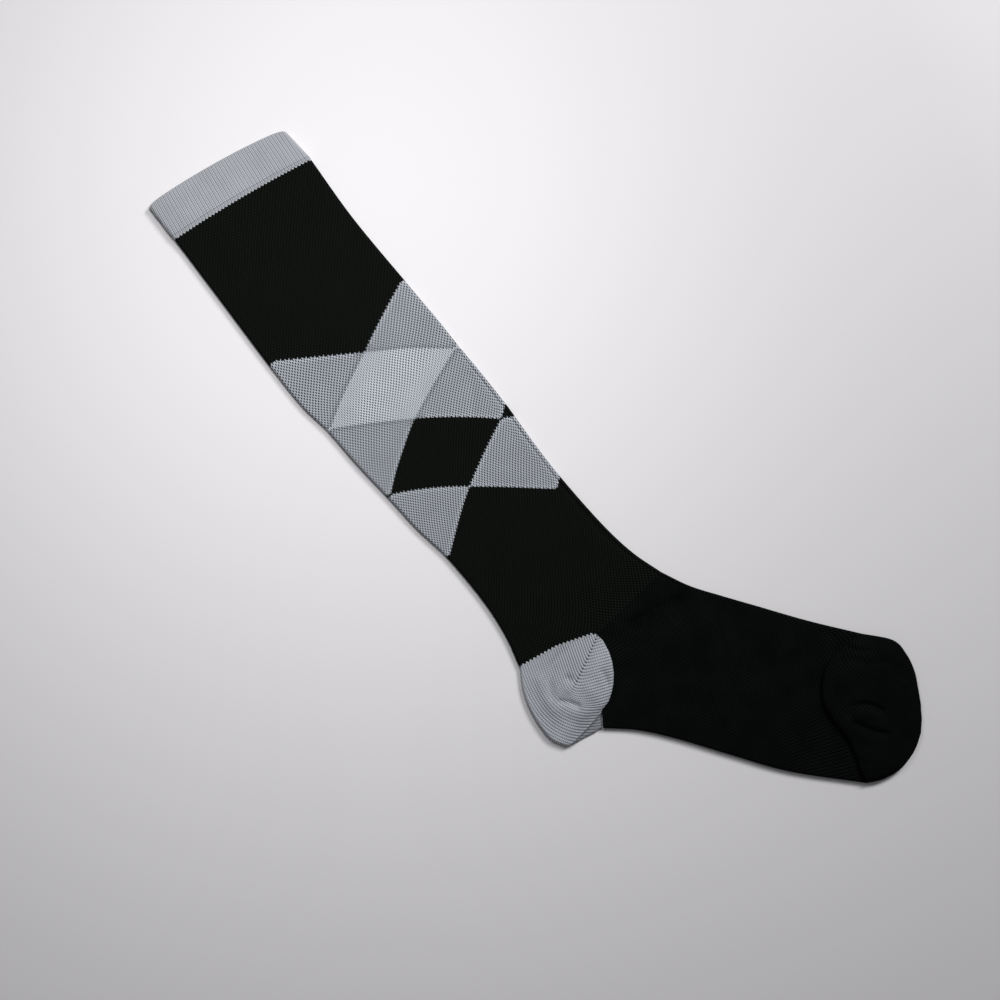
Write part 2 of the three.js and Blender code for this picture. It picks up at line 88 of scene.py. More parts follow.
# The top of the pocket's inside: its base, and its share of the outside's top
HEEL_INNER_TOP = (4.8, 0.3)
LIP_CLEARANCE = 0.3

# The toe cap's height before it is puffed, and where its knit starts along the stocking
TOE_HEIGHT = 4.6
TOE_START = 400


def linear(code):
    """A colour's sRGB hex code as linear red, green, blue and opacity."""
    values = [int(code[k : k + 2], 16) / 255 for k in (0, 2, 4)]
    curve = [v / 12.92 if v <= 0.04045 else ((v + 0.055) / 1.055) ** 2.4 for v in values]
    return (*curve, 1.0)


def smoothstep(value, low, high):
    share = np.clip((value - low) / (high - low), 0, 1)
    return share * share * (3 - 2 * share)


def smooth_curve(points, place):
    """Points of smooth curves, one curve in each row of points, at each row's places along it."""
    first = 2 * points[:, :1] - points[:, 1:2]
    final = 2 * points[:, -1:] - points[:, -2:-1]
    padded = np.concatenate([first, points, final], axis=1)
    low = np.clip(np.floor(place).astype(int), 0, points.shape[1] - 2)
    t = (place - low)[..., None]
    rows = np.arange(len(points))[:, None]
    a, b, c, d = (padded[rows, low + k] for k in range(4))
    cubic = (3 * b - a - 3 * c + d) * t**3
    return 0.5 * (2 * b + (c - a) * t + (2 * a - 5 * b + 4 * c - d) * t**2 + cubic)


def course(back, front, bow=0.0, sharp=0.0, at_apex=False, bulge=0.0):
    """Five points of a knitted course across the flat tube, from the back fold to the front.
    bow moves its middle toward the toe, and sharp turns the bowed line into a V."""
    back, front = np.array(back), np.array(front)
    chord = (front - back) / np.linalg.norm(front - back)
    middle = APEX if at_apex else (back + front) / 2 + bow * np.array([chord[1], -chord[0]])
    across = np.array([-1, -0.5, 0, 0.5, 1])[:, None]
    straight = middle + (np.where(across < 0, back, front) - middle) * abs(across)
    swept = middle + ((back + front) / 2 - middle) * across**2 + (front - back) * across / 2
    points = swept + (straight - swept) * sharp
    way = (middle - back) / np.linalg.norm(middle - back)
    points[1] -= bulge * np.array([way[1], -way[0]])
    return points, sharp


CUFF_COURSES = [
    course((-8.9, -47.7), (5.4, 46.4), bow=-2.2),
    course((4.0, -47.8), (17.8, 47.6), bow=-1.8),
    course((17.2, -47.9), (30.0, 48.7), bow=-1.4),
]
LEG_COURSES = [
    course((17.2, -47.6), (30.0, 48.3), bow=-1.4),
    course((62.0, -48.4), (74.0, 46.5)),
    course((112.9, -49.4), (122.9, 47.9)),
    course((145.0, -49.1), (154.0, 49.0)),
    course((167.4, -46.0), (175.5, 49.3)),
    course((195.0, -44.5), (200.0, 50.0)),
    course((221.6, -42.0), (223.6, 50.1)),
    course((248.0, -39.9), (251.0, 49.0)),
    course((273.6, -36.0), (279.0, 49.1), bow=1.0),
    course((306.3, -35.0), (315.5, 51.4), bow=3.0, sharp=0.1),
    course((331.8, -37.3), (340.1, 55.3), bow=6.5, sharp=0.5),
    course((353.0, -42.4), (360.5, 61.8), at_apex=True, sharp=1, bulge=HEEL_BULGE),
]

# The toe cap's edge over the foot, from the sole fold to the instep fold
TOE_EDGE = (
    np.array([[539.0, 81.0], [514.5, 90.0], [486.5, 91.8], [468.6, 107.5], [464.5, 134.4]]),
    0.0,
)
FOOT_COURSES = [
    course((413.6, -25.0), (360.5, 61.8), at_apex=True, sharp=1),
    course((428.6, -8.2), (377.7, 70.3), bow=-12.0, sharp=0.5),
    course((448.0, 7.6), (394.2, 81.7), bow=-6.0, sharp=0.1),
    course((474.0, 26.0), (412.6, 95.0), bow=-3.0),
    course((504.7, 48.5), (439.1, 114.2), bow=-3.0),
    TOE_EDGE,
]
TOE_COURSES = [
    TOE_EDGE,
    course((543.2, 90.0), (480.0, 147.6), bow=-7.5),
    course((545.0, 101.0), (491.6, 148.9), bow=-3.5),
    course((543.4, 110.5), (502.2, 146.6), bow=-0.5),
    course((540.4, 118.2), (511.4, 142.2), bow=-1.5),
    course((536.0, 124.8), (519.0, 138.0)),
]

# The heel pocket's fold, from the leg's back fold round the tip to the sole
HEEL_OUTLINE = np.array(
    [
        [353.0, -42.4], [366.0, -49.8], [380.9, -54.0], [396.5, -54.8],
        [404.5, -51.9], [409.6, -47.3], [411.4, -37.0], [413.8, -25.6],
    ]
)
GORE_END = 3
GORE = GORE_END / (len(HEEL_OUTLINE) - 1)

# How far the heel's upper edge lies over the foot, from the apex to the sole
HEEL_LIP = np.array(
    [
        [0.03, 0.0], [0.08, 2.9], [0.20, 6.3], [0.30, 8.0],
        [0.42, 8.7], [0.52, 8.3], [0.62, 6.9], [0.71, 4.8],
        [0.80, 0.3], [0.86, -0.7], [1.00, -1.0],
    ]
)

# The ribs' own directions on the leg's side of the gore and on the foot's side, as the turn
# of each side's upright and its rib pitch, and how sharply they meet before and after bending
HEEL_RIBS = ((-109.0, 1.53), (-22.0, 1.74))
HEEL_MITRE = (14.0, 3.2)

# Where the pocket's upper layer ends at the sole, and only the lower layer goes on
HEEL_STEP = np.array(
    [[414.0, -12.0], [404.6, -19.1], [406.2, -27.0], [407.6, -35.5], [408.6, -43.0], [409.0, -50.0]]
)
HEEL_STEP_SHARE = 0.5

# The heel's upper edge rolls down and under: its share of the overhang, its share of the
# height and how far it stands back
HEEL_ROLL = (
    (1.0, 1.0, 1.6),
    (1.0, 0.94, 1.15),
    (1.0, 0.8, 0.8),
    (1.0, 0.58, 0.55),
    (1.0, 0.32, 0.42),
    (0.97, 0.1, 0.45),
    (0.85, 0.0, 0.4),
    (0.0, 0.0, 0.0),
)

# Soft ridges and troughs of the upper layer: the height of each, which is negative in a
# trough, half its width, and the points of its line
FOLDS = (
    (-0.45, 8.0, (58, -45), (56, 21)),
    (0.5, 10.0, (75, -28), (77, 24)),
    (0.4, 10.0, (246, -9), (254, 21)),
    (0.5, 9.0, (333, 5), (347, 43)),
    (0.9, 9.0, (393, 32), (403, 72)),
    (0.6, 5.0, (369, 21), (367, 47)),
    (0.4, 12.0, (432, 77), (464, 43)),
    (-1.9, 4.0, (375, 28), (377, 40), (380, 58)),
    (-0.7, 2.5, (404, 70), (421, 62)),
    (-0.5, 3.0, (196, 44), (214, 30), (226, 12)),
    (0.35, 5.0, (160, -30), (188, -8), (208, 20)),
    (-0.35, 4.0, (300, -22), (318, -4), (330, 22)),
    (-1.3, 2.4, (376.5, -22.8), (377.5, -22.8)),
    (0.7, 2.4, (381, -24), (382, -27)),
    (-1.0, 2.6, (360, -15), (363.7, -24.9), (369.9, -32.8), (378.9, -37.6)),
    (0.9, 3.2, (366, -38), (374, -41.5), (386, -42.5)),
    (-1.2, 1.9, (384.2, -35.4), (388, -31.5), (392.5, -28.7)),
    (-0.8, 4.0, (397, -38), (400, -36)),
    (0.8, 4.5, (388, -17), (397, -16)),
    (-0.8, 2.2, (386, -4), (399, -7)),
    (-2.2, 1.9, (499.5, 98.6), (496.6, 103.6), (498.8, 108.8), (503.3, 113.1), (508.5, 115)),
    (1.0, 2.6, (502.5, 103), (507, 108)),
    (-2.1, 1.8, (505, 98), (511.2, 101), (517.7, 104.9), (521.5, 108.6)),
    (0.8, 2.6, (509, 95.5), (519, 98)),
    (-0.8, 1.8, (509, 82), (519, 84.5), (528, 86.5)),
    (-0.9, 1.8, (454.6, 120.1), (463, 121.5), (470.4, 125.6), (474.9, 132)),
    (0.8, 4.0, (482, 106), (478, 118)),
    (-0.5, 2.0, (474, 121), (482, 126), (487, 136)),
    (-0.7, 2.2, (523, 117), (517, 127), (508, 134)),
)

# The pressed crease that runs down beside the shin and over the instep
CREASE = np.array(
    [
        [166.0, 46.8], [199.0, 47.6], [224.0, 47.4], [277.5, 46.0],
        [319.0, 46.9], [337.0, 51.5], [354.0, 57.1], [371.5, 65.3],
        [387.3, 75.3], [399.0, 84.6], [420.0, 99.5], [443.0, 118.0],
    ]
)
CREASE_DEPTH = 0.5
CREASE_WIDTH = 0.9

# Where the argyle's rows of corners stand along the leg, and the places across of its
# corners at the back, in the middle and at the front
ARGYLE_X = np.array([23.6, 117.9, 171.45, 224.1, 277.0, 356.5])
ARGYLE_V = np.array([-92.0, 0.0, 54.0, 108.0, 162.0, 242.0])
CORNER_V = np.array([-92.0, 0.0, 27.0, 54.0, 81.0, 108.0, 135.0, 162.0, 242.0])
CORNER_BACK = np.array([-0.95, -0.924, -0.934, -0.943, -0.943, -0.945, -0.952, -0.958, -0.96])
CORNER_MIDDLE = np.array([0.0, 0.03, 0.04, 0.0, -0.041, -0.05, -0.064, -0.06, 0.0])
CORNER_FRONT = np.array([0.95, 0.969, 0.953, 0.937, 0.884, 0.832, 0.84, 0.85, 0.95])
COURSE_BOW = np.array([0.0, 1.5, 1.5, 2.4, 4.1, 4.0, 3.2, 2.4, 0.0])
COURSE_TILT = np.array([0.0, 0.0, 0.0, 0.3, 1.0, 1.7, 1.7, 1.5, 0.0])

# Places where a pull bends the courses: round and along the leg, its reach both ways, and
# how far it shifts them
PULLS = ((20.0, 44.0, 16.0, 16.0, 1.4), (-24.0, 84.0, 14.0, 12.0, -1.0))


def size_value(name, description, default, low=0.0):
    return FloatProperty(
        name=name,
        description=description,
        default=default,
        min=low,
        subtype="DISTANCE",
        unit="LENGTH",
    )


def colour_value(name, description, code):
    return FloatVectorProperty(
        name=name,
        description=description,
        default=linear(code),
        size=4,
        min=0,
        max=1,
        subtype="COLOR",
    )


def light_value(name, description, default):
    return FloatProperty(name=name, description=description, default=default, min=0)


class StockingSizes(PropertyGroup):
    """Sizes of the stocking's knits and walls"""

    seam_gap: size_value("Seam gap", "Space between neighbouring pieces at a seam", 0.1 * MM)
    hollow: size_value("Hollow", "Space inside the flat tube between its two layers", 0.8 * MM)
    cuff_wall: size_value("Cuff wall", "Thickness of the turned double band", 1.9 * MM, 0.5 * MM)
    leg_wall: size_value("Leg wall", "Thickness of the leg's and the foot's knit", 1.4 * MM, 0.5 * MM)
    heel_wall: size_value("Heel and toe wall", "Thickness of the reinforced knit", 1.6 * MM, 0.5 * MM)
    rib_depth: size_value("Rib depth", "Depth of the grooves between ribs", 0.34 * MM)
    toe_lip: size_value("Toe lip", "How far the toe cap's edge lies over the foot", 2.0 * MM)
    cuff_ribs: IntProperty(
        name="Cuff ribs",
        description="Ribs across the cuff's upper layer",
        default=79,
        min=10,
    )
    stitches: IntProperty(
        name="Argyle stitches",
        description="Patterned stitches across half a diamond, and along one",
        default=21,
        min=4,
    )


class StockingColours(PropertyGroup):
    """Yarn colours of the stocking and the colour of the table top"""

    cuff_grey: colour_value("Cuff grey", "Pale grey yarn of the ribbed cuff", "acafb5")
    heel_grey: colour_value("Heel grey", "Pale grey yarn of the heel", "aeb2b9")
    pale_grey: colour_value("Pale grey", "Argyle yarn of the middle diamond", "b0b5bc")
    mid_grey: colour_value("Mid grey", "Argyle yarn of the side diamonds", "92969c")
    black: colour_value("Black", "Black yarn of the leg", "0b0d0b")
    # The foot and toe are a darker black than the leg: partly their yarn, partly painted shade.
    foot_black: colour_value("Foot black", "Black yarn of the foot and toe", "070908")
    table: colour_value("Table top", "Colour of the pale table top", "e9e7e9")


class StockingStage(PropertyGroup):
    """Camera, light and table of the picture"""

    view_height: size_value("Camera height", "Height of the camera over the table", 0.8505, 0.1)
    view_turn: FloatProperty(
        name="Camera turn",
        description="Turn of the picture about the upright",
        default=math.radians(52),
        subtype="ANGLE",
        unit="ROTATION",
    )
    key_power: light_value("Key light", "Watts of the large softbox at the shin side", 11.0)
    fill_power: light_value("Fill light", "Watts of the small softbox over the cuff's side", 1.75)
    room_light: light_value("Room light", "Strength of the even light of the room", 0.12)


class Sheet:
    """A smooth sheet through courses. A place on it has a course's number, which may be a
    fraction, and a place across from -1 at the back fold to 1 at the front fold."""

    def __init__(self, courses):
        self.points = np.array([points for points, _ in courses])
        self.sharp = np.array([sharp for _, sharp in courses], float)
        self.last = len(courses) - 1

    def at(self, station, across):
        flat = self.points.reshape(1, len(self.points), -1)
        rows = smooth_curve(flat, station[None])[0].reshape(len(station), 5, 2)
        place = np.clip((across + 1) / 2, 0, 1) * 4
        smooth = smooth_curve(rows, place)
        low = np.clip(np.floor(place).astype(int), 0, 3)
        line = np.arange(len(station))[:, None]
        straight = rows[line, low] + (rows[line, low + 1] - rows[line, low]) * (place - low)[..., None]
        sharp = np.interp(station, np.arange(self.last + 1), self.sharp)[:, None, None]
        return smooth + (straight - smooth) * sharp

    def half_width(self, station):
        line = self.at(station, np.tile(np.linspace(-1, 1, 9), (len(station), 1)))
        return np.linalg.norm(np.diff(line, axis=1), axis=-1).sum(1) / 2

    def heading(self, station, across):
        low, high = np.maximum(0, station - 0.05), np.minimum(self.last, station + 0.05)
        way = self.at(high, across) - self.at(low, across)
        return way / np.linalg.norm(way, axis=-1, keepdims=True)


def off_line(x, y, line):
    """The distance of places from a line of points, and whether they lie to its left."""
    place = np.stack([x, y], -1)
    line = np.asarray(line, float)
    nearest = np.full(np.shape(x), 1e9)
    left = np.zeros(np.shape(x))
    for low, high in zip(line[:-1], line[1:]):
        way = high - low
        share = np.clip(((place - low) @ way) / (way @ way), 0, 1)
        offset = place - low - share[..., None] * way
        distance = np.linalg.norm(offset, axis=-1)
        closer = distance < nearest
        nearest = np.where(closer, distance, nearest)
        left = np.where(closer, way[0] * offset[..., 1] - way[1] * offset[..., 0] > 0, left)
    return nearest, left


def fold_height(x, y):
    """Height of the soft folds over the plain layer."""
    height = np.zeros(np.shape(x))
    for rise, width, *line in FOLDS:
        distance, _ = off_line(x, y, line)
        height += rise * np.exp(-((distance / width) ** 2))
    return height


def slack(x, y):
    """The small unevenness of a knit that has been worn and laid down by hand."""
    long_waves = np.sin(x / 15.0 + 1.4 * np.sin(y / 21.0)) * np.cos(y / 17.0 + 0.6)
    short_waves = np.sin(x / 6.1 + 0.9 * np.sin(y / 8.3)) * np.sin(y / 7.1 + 1.1)
    return 0.11 * long_waves + 0.035 * short_waves


def crease(x, y):
    """The pressed crease: a narrow groove, with the strip outside it a little lower."""
    nearest, outside = off_line(x, y, CREASE)
    ends = smoothstep(x, 168, 200) * (1 - smoothstep(x, 425, 443))
    groove = np.exp(-((nearest / CREASE_WIDTH) ** 2))
    step = outside * smoothstep(nearest, 0, 1.5)
    return -CREASE_DEPTH * ends * (groove + 0.8 * step)


def rib_groove(phase, depth, second=1.0):
    """Depth below the ribs' tops at a place counted in ribs: narrow grooves, rounded ribs.
    Every second groove has the given share of the depth."""
    share = (1 + second) / 2 + (1 - second) / 2 * np.cos(np.pi * phase)
    return depth * share * abs(np.cos(np.pi * phase)) ** 3


class Ring:
    """Places round the flat tube: along the upper layer from the back fold to the front
    fold, round it, back along the lower layer and round the back fold."""

    def __init__(self, top, fold, bottom, even=False):
        spread = np.linspace(-1, 1, top + 1)
        self.top = spread if even else 0.3 * spread + 0.7 * np.sin(np.pi / 2 * spread)
        self.bottom = np.linspace(1, -1, bottom + 1)
        self.turn = np.pi * (0.5 - np.arange(1, fold) / fold)
        self.upper = top + 1
        self.count = top + 1 + bottom + 1 + 2 * (fold - 1)

    def points(self, sheet, rows, inset, lift=None):
        """A grid of points, a row for each entry of rows. rows has the station, height and
        shift down the sheet of each, and inset is how far the points lie inside the tube."""
        station, height = rows["station"], rows["height"][:, None]
        half = sheet.half_width(station)[:, None]
        inset = np.broadcast_to(inset, (len(station), self.count))
        radius = height / 2
        flat = 1 - radius / half
        parts = np.split(inset, np.cumsum([self.upper, len(self.turn), len(self.bottom)]), axis=1)
        on_top, at_front, below, at_back = parts
        cos, sin = np.cos(self.turn), np.sin(self.turn)
        across = [
            flat * self.top,
            flat + (radius - at_front) * cos / half,
            flat * self.bottom,
            -flat - (radius - at_back) * cos / half,
        ]
        levels = [
            height - on_top,
            radius + (radius - at_front) * sin,
            below,
            radius - (radius - at_back) * sin,
        ]
        across, z = np.concatenate(across, 1), np.concatenate(levels, 1)
        shift = np.broadcast_to(rows["shift"][:, None], across.shape).copy()
        shift[:, : self.upper] += rows["over"][:, None] * (1 - across[:, : self.upper] ** 6)
        shift += rows["corner"][:, None] * abs(across) ** 14
        place = sheet.at(station, across) + shift[..., None] * sheet.heading(station, across)
        grid = np.concatenate([place, z[..., None]], -1)
        if lift:
            under = slice(self.upper + len(self.turn), self.count - len(self.turn))
            x, y = grid[..., 0], grid[..., 1]
            rise = lift(across, x, y)
            inner = slice(1, self.upper - 1)
            grid[:, inner, 2] += rise[:, inner]
            grid[:, under, 2] += 0.5 * abs(rise[:, under])
        return grid, across


def rows_of(station, height, shift=0.0, over=0.0, corner=0.0):
    """The rows of a tube: each argument is one number for all rows or one for each."""
    station = np.asarray(station, float)
    spread = {"height": height, "shift": shift, "over": over, "corner": corner}
    return {"station": station} | {
        key: np.broadcast_to(np.asarray(value, float), station.shape) for key, value in spread.items()
    }


def round_the_leg(grid, across, ring, along):
    """The knit's own places, in millimetres round the tube and along it. Round the tube they
    are 0 in the middle of the upper layer and one QUARTER at the pattern's corners."""
    back = np.interp(along, CORNER_V, CORNER_BACK)[:, None]
    middle = np.interp(along, CORNER_V, CORNER_MIDDLE)[:, None]
    front = np.interp(along, CORNER_V, CORNER_FRONT)[:, None]
    away = across[:, : ring.upper] - middle
    upper = away / np.where(away < 0, middle - back, front - middle)
    closed = np.concatenate([grid, grid[:, :1]], 1)
    steps = np.linalg.norm(np.diff(closed[:, ring.upper - 1 :], axis=1), axis=-1)
    share = np.cumsum(steps, 1) / steps.sum(1, keepdims=True)
    start, end = upper[:, :1], upper[:, -1:]
    lower = end + (start + 4 - end) * share
    turns = np.concatenate([upper, lower], 1)
    wave = abs((turns + 1) % 2 - 1)
    bow = np.interp(along, CORNER_V, COURSE_BOW)[:, None]
    tilt = np.interp(along, CORNER_V, COURSE_TILT)[:, None]
    courses = along[:, None] + bow * (1 - wave**2) - tilt * np.sin(np.pi / 2 * turns)
    for pull_round, pull_along, wide, long, shift in PULLS:
        near = ((turns * QUARTER - pull_round) / wide) ** 2 + ((courses - pull_along) / long) ** 2
        courses = courses + shift * np.exp(-near)
    return np.stack([turns * QUARTER, courses], -1)


class Shell:
    """A closed wall, collected as points, faces and each face corner's place in the knit."""

    def __init__(self):
        self.points = []
        self.faces = []
        self.places = []
        self.size = 0

    def add_points(self, points):
        points = np.asarray(points, float)
        self.points.append(points.reshape(-1, 3))
        index = self.size + np.arange(points.size // 3).reshape(points.shape[:-1])
        self.size += index.size
        return index

    def add_faces(self, corners, places):
        self.faces.append(np.stack(corners, -1).reshape(-1, len(corners)))
        self.places.append(np.stack(places, -2).reshape(-1, 2))

    def add_grid(self, index, places, closed, inward=False):
        self.add_strip(index[:-1], index[1:], places[:-1], places[1:], closed, inward)

    def add_strip(self, near, far, near_places, far_places, closed, inward=False):
        """Faces between two rows, or two stacks of rows, of points."""
        if closed:
            near = np.concatenate([near, near[..., :1]], -1)
            far = np.concatenate([far, far[..., :1]], -1)
        corners = [near[..., :-1], near[..., 1:], far[..., 1:], far[..., :-1]]
        places = [
            near_places[..., :-1, :],
            near_places[..., 1:, :],
            far_places[..., 1:, :],
            far_places[..., :-1, :],
        ]
        if inward:
            corners.reverse()
            places.reverse()
        self.add_faces(corners, places)

    def add_tip(self, row, places, tip, inward=False):
        """Faces from a closed row to one point."""
        tip_index = np.broadcast_to(self.add_points(np.array([tip])), row.shape)
        tip_places = np.broadcast_to(places.mean(0), (len(row), 2))
        corners = [row, np.roll(row, -1), tip_index]
        corner_places = [places[:-1], places[1:], tip_places]
        if inward:
            corners.reverse()
            corner_places.reverse()
        self.add_faces(corners, corner_places)

    def mesh(self, name, shade=None):
        """The wall as a mesh. shade gives each place its factor of painted shade, if it has one."""
        points = np.concatenate(self.points)
        faces = [face for block in self.faces for face in block.tolist()]
        places = np.concatenate(self.places)
        flat = (points - [*CENTRE, 0]) * MM
        mesh = bpy.data.meshes.new(name)
        mesh.from_pydata(flat.tolist(), [], faces)
        layer = mesh.uv_layers.new(name="knit")
        layer.uv.foreach_set("vector", places.astype(np.float32).ravel())
        mesh.shade_smooth()
        mesh.set_sharp_from_angle(angle=math.radians(62))
        if shade:
            layer = mesh.attributes.new("shade", "FLOAT", "POINT")
            layer.data.foreach_set("value", shade(points[:, 0], points[:, 1]).astype(np.float32))
        mesh.validate()
        return mesh


def tube_shell(outer, outer_places, inner, inner_places, tips=None):
    """A closed wall round a tube, or a cap that ends in an outer and an inner tip."""
    shell = Shell()
    outside = shell.add_points(outer)
    inside = shell.add_points(inner)
    shell.add_grid(outside, outer_places, closed=True)
    shell.add_grid(inside, inner_places, closed=True, inward=True)
    shell.add_strip(inside[0], outside[0], inner_places[0], outer_places[0], closed=True)
    if tips:
        shell.add_tip(outside[-1], outer_places[-1], tips[0])
        shell.add_tip(inside[-1], inner_places[-1], tips[1], inward=True)
    else:
        shell.add_strip(outside[-1], inside[-1], outer_places[-1], inner_places[-1], closed=True)
    return shell


def add_piece(context, name, shell, material, node, shade=None):
    """The shell as an object that stands for its solid."""
    mesh = shell.mesh(name, shade)
    volume = sum(
        mesh.vertices[t.vertices[0]].co.dot(
            mesh.vertices[t.vertices[1]].co.cross(mesh.vertices[t.vertices[2]].co)
        )
        for t in mesh.loop_triangles
    )
    if volume < 0:
        mesh.flip_normals()
    mesh.materials.append(material)
    piece = bpy.data.objects.new(name, mesh)
    context.scene.collection.objects.link(piece)
    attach(piece, "root")
    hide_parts(node)


# The two kinds of node that the knits use most
MATH = "ShaderNodeMath"
RANGE = "ShaderNodeMapRange"


def add_node(tree, kind, inputs=(), **settings):
    """A node with its settings. Each input is a value, or another node or socket to link."""
    made = tree.nodes.new(kind)
    for key, value in settings.items():
        setattr(made, key, value)
    named = inputs.items() if isinstance(inputs, dict) else enumerate(inputs)
    for key, value in named:
        if isinstance(value, bpy.types.Node):
            value = value.outputs[0]
        if isinstance(value, bpy.types.NodeSocket):
            tree.links.new(value, made.inputs[key])
        else:
            made.inputs[key].default_value = value
    return made


# The length of a stitch on a rib. Real ones are about 1.1, and are drawn coarser to show.
RIB_STITCH = 1.3


def clear_tree(owner):
    """Empties the node tree of a material or a world, and gives add_node for it."""
    owner.use_nodes = True
    owner.node_tree.nodes.clear()
    return partial(add_node, owner.node_tree)


def new_knit(name):
    """A new material, and the knit's place round and along the piece."""
    material = bpy.data.materials.new(name)
    add = clear_tree(material)
    place = add("ShaderNodeUVMap", uv_map="knit")
    split = add("ShaderNodeSeparateXYZ", [place])
    return material, add, split.outputs[0], split.outputs[1]


def finish_knit(add, colour, height, depth, shader):
    """The shader of a knit: its colour, and a relief of the given depth in metres. shader has
    the rest of its inputs."""
    relief = add("ShaderNodeBump", {"Height": height, "Strength": 1.0, "Distance": depth})
    cloth = add("ShaderNodeBsdfPrincipled", {"Base Color": colour, "Normal": relief} | shader)
    add("ShaderNodeOutputMaterial", [cloth])


def stitch_size(sizes):
    return QUARTER / sizes.stitches, DIAMOND / 2 / sizes.stitches


def eyelets(add, across, along, sizes, share, lines):
    """The tuck knit's staggered eyelets, one to a stitch, high in each, and the furrows that
    run down between the stitches. share and lines weigh the two."""
    width, height = stitch_size(sizes)
    angle_a = add(MATH, (across, 2 * math.pi / width), operation="MULTIPLY")
    angle_b = add(MATH, (along, math.pi / height), operation="MULTIPLY")
    furrow = add(MATH, (angle_a, 2.0), operation="MULTIPLY")
    wave_a = add(MATH, (angle_a,), operation="COSINE")
    wave_b = add(MATH, (angle_b,), operation="COSINE")
    wave_c = add(MATH, (furrow,), operation="COSINE")
    dots = add(MATH, (wave_a, wave_b), operation="MULTIPLY")
    weighed = add(MATH, (dots, share), operation="MULTIPLY")
    return add(MATH, (wave_c, lines, weighed), operation="MULTIPLY_ADD")


def cloudy(add, colour, amount):
    """The colour with the faint clouds of uneven tension in the knit."""
    place = add("ShaderNodeTexCoord")
    clouds = {"Vector": place.outputs["Object"], "Scale": 70.0, "Detail": 3.0}
    noise = add("ShaderNodeTexNoise", clouds)
    value = add(RANGE, (noise, 0.3, 0.7, 1.0 - amount, 1.0 + amount))
    return add("ShaderNodeHueSaturation", {"Color": colour, "Value": value, "Saturation": 1.0})


def rib_knit(name, colour, pitch, groove_shade, second=1.0, border=None, heel=False):
    """Nylon and elastane rib knit: soft matt ribs with painted shade in the thin grooves between them,
    and small stitches along each rib. second is the depth of every second groove, border is where the
    last course crosses, and a heel has its mitre's row of holes, its pulled places and painted shade
    past the step at the sole."""
    material, add, across, along = new_knit(name)
    rib = add(MATH, (across, pitch), operation="DIVIDE")
    ridge = add(MATH, (rib, 0.5), operation="PINGPONG")
    groove = add(RANGE, (ridge, 0.03, 0.27, 1.0, 0.0))
    pair = add(MATH, (rib, 1.0), operation="PINGPONG")
    strength = add(RANGE, (pair, 0.0, 1.0, 1.0, second))
    if heel:
        # Pulled sideways, toward the fold and beside the mitre, the ribs flatten, and their grooves hold
        # less painted shade.
        outward = add(RANGE, (across, 24.0, 38.0, 0.0, 0.62))
        legward = add(RANGE, (along, 8.0, 18.0, 1.0, 0.0))
        beside = add(MATH, (along, -6.5), operation="ADD")
        away = add(MATH, (beside,), operation="ABSOLUTE")
        middle = add(RANGE, (away, 2.5, 7.0, 0.45, 0.0))
        flat = add(MATH, (outward, legward, middle), operation="MULTIPLY_ADD")
        strength = add(MATH, (strength, flat), operation="SUBTRACT")
    shade = add(MATH, (groove, strength), operation="MULTIPLY")
    light = add(MATH, (shade, groove_shade - 1.0, 1.0), operation="MULTIPLY_ADD")
    # A stitch is a small V on each rib, and between courses its legs leave a fleck of painted shade.
    lean = add(MATH, (ridge, 1.2 * pitch), operation="MULTIPLY")
    leaned = add(MATH, (along, lean), operation="ADD")
    course_count = add(MATH, (leaned, RIB_STITCH), operation="DIVIDE")
    course_wave = add(MATH, (course_count, 0.5), operation="PINGPONG")
    legs = add(RANGE, (course_wave, 0.02, 0.3, 0.0, 1.0))
    fleck = add(RANGE, (strength, 0.2, 1.0, 0.45, 0.76))
    flecked = add(RANGE, {0: legs, 1: 0.0, 2: 1.0, 3: fleck, 4: 1.12})
    value = add(MATH, (light, flecked), operation="MULTIPLY")
    if border is not None:
        off = add(MATH, (along, border), operation="SUBTRACT")
        near = add(MATH, (off,), operation="ABSOLUTE")
        line = add(RANGE, (near, 0.15, 0.55, 0.7, 1.0))
        value = add(MATH, (value, line), operation="MULTIPLY")
    if heel:
        # Where courses were turned, each rib leaves a small hole.
        hole_wave = add(MATH, (rib, 0.5), operation="PINGPONG")
        narrow = add(RANGE, (hole_wave, 0.12, 0.32, 1.0, 0.0))
        slanted = add(MATH, (along, -0.2), operation="ADD")
        sideways = add(MATH, (slanted,), operation="ABSOLUTE")
        close = add(RANGE, (sideways, 0.3, 0.9, 1.0, 0.0))
        inside = add(RANGE, (across, 24.0, 30.0, 0.8, 0.0))
        hole = add(MATH, (narrow, close), operation="MULTIPLY")
        dark = add(MATH, (hole, inside), operation="MULTIPLY")
        shut = add(MATH, (1.0, dark), operation="SUBTRACT")
        value = add(MATH, (value, shut), operation="MULTIPLY")
        # Past the step at the sole, the lower layer is painted darker: painted shade under the upper
        # layer's edge.
        reverse = add("ShaderNodeAttribute", attribute_name="shade")
        painted_step_shade = add(RANGE, (reverse.outputs["Fac"], HEEL_STEP_SHARE, 1.0, 0.68, 1.0))
        value = add(MATH, (value, painted_step_shade), operation="MULTIPLY")
    dyed = add("ShaderNodeHueSaturation", {"Color": tuple(colour), "Value": value})
    height = add(MATH, (legs, shade), operation="SUBTRACT")
    shader = {"Sheen Weight": 0.12, "Sheen Roughness": 0.5, "Specular IOR Level": 0.25}
    finish_knit(add, cloudy(add, dyed, 0.05), height, 0.12 * MM, {"Roughness": 0.92} | shader)
    return material


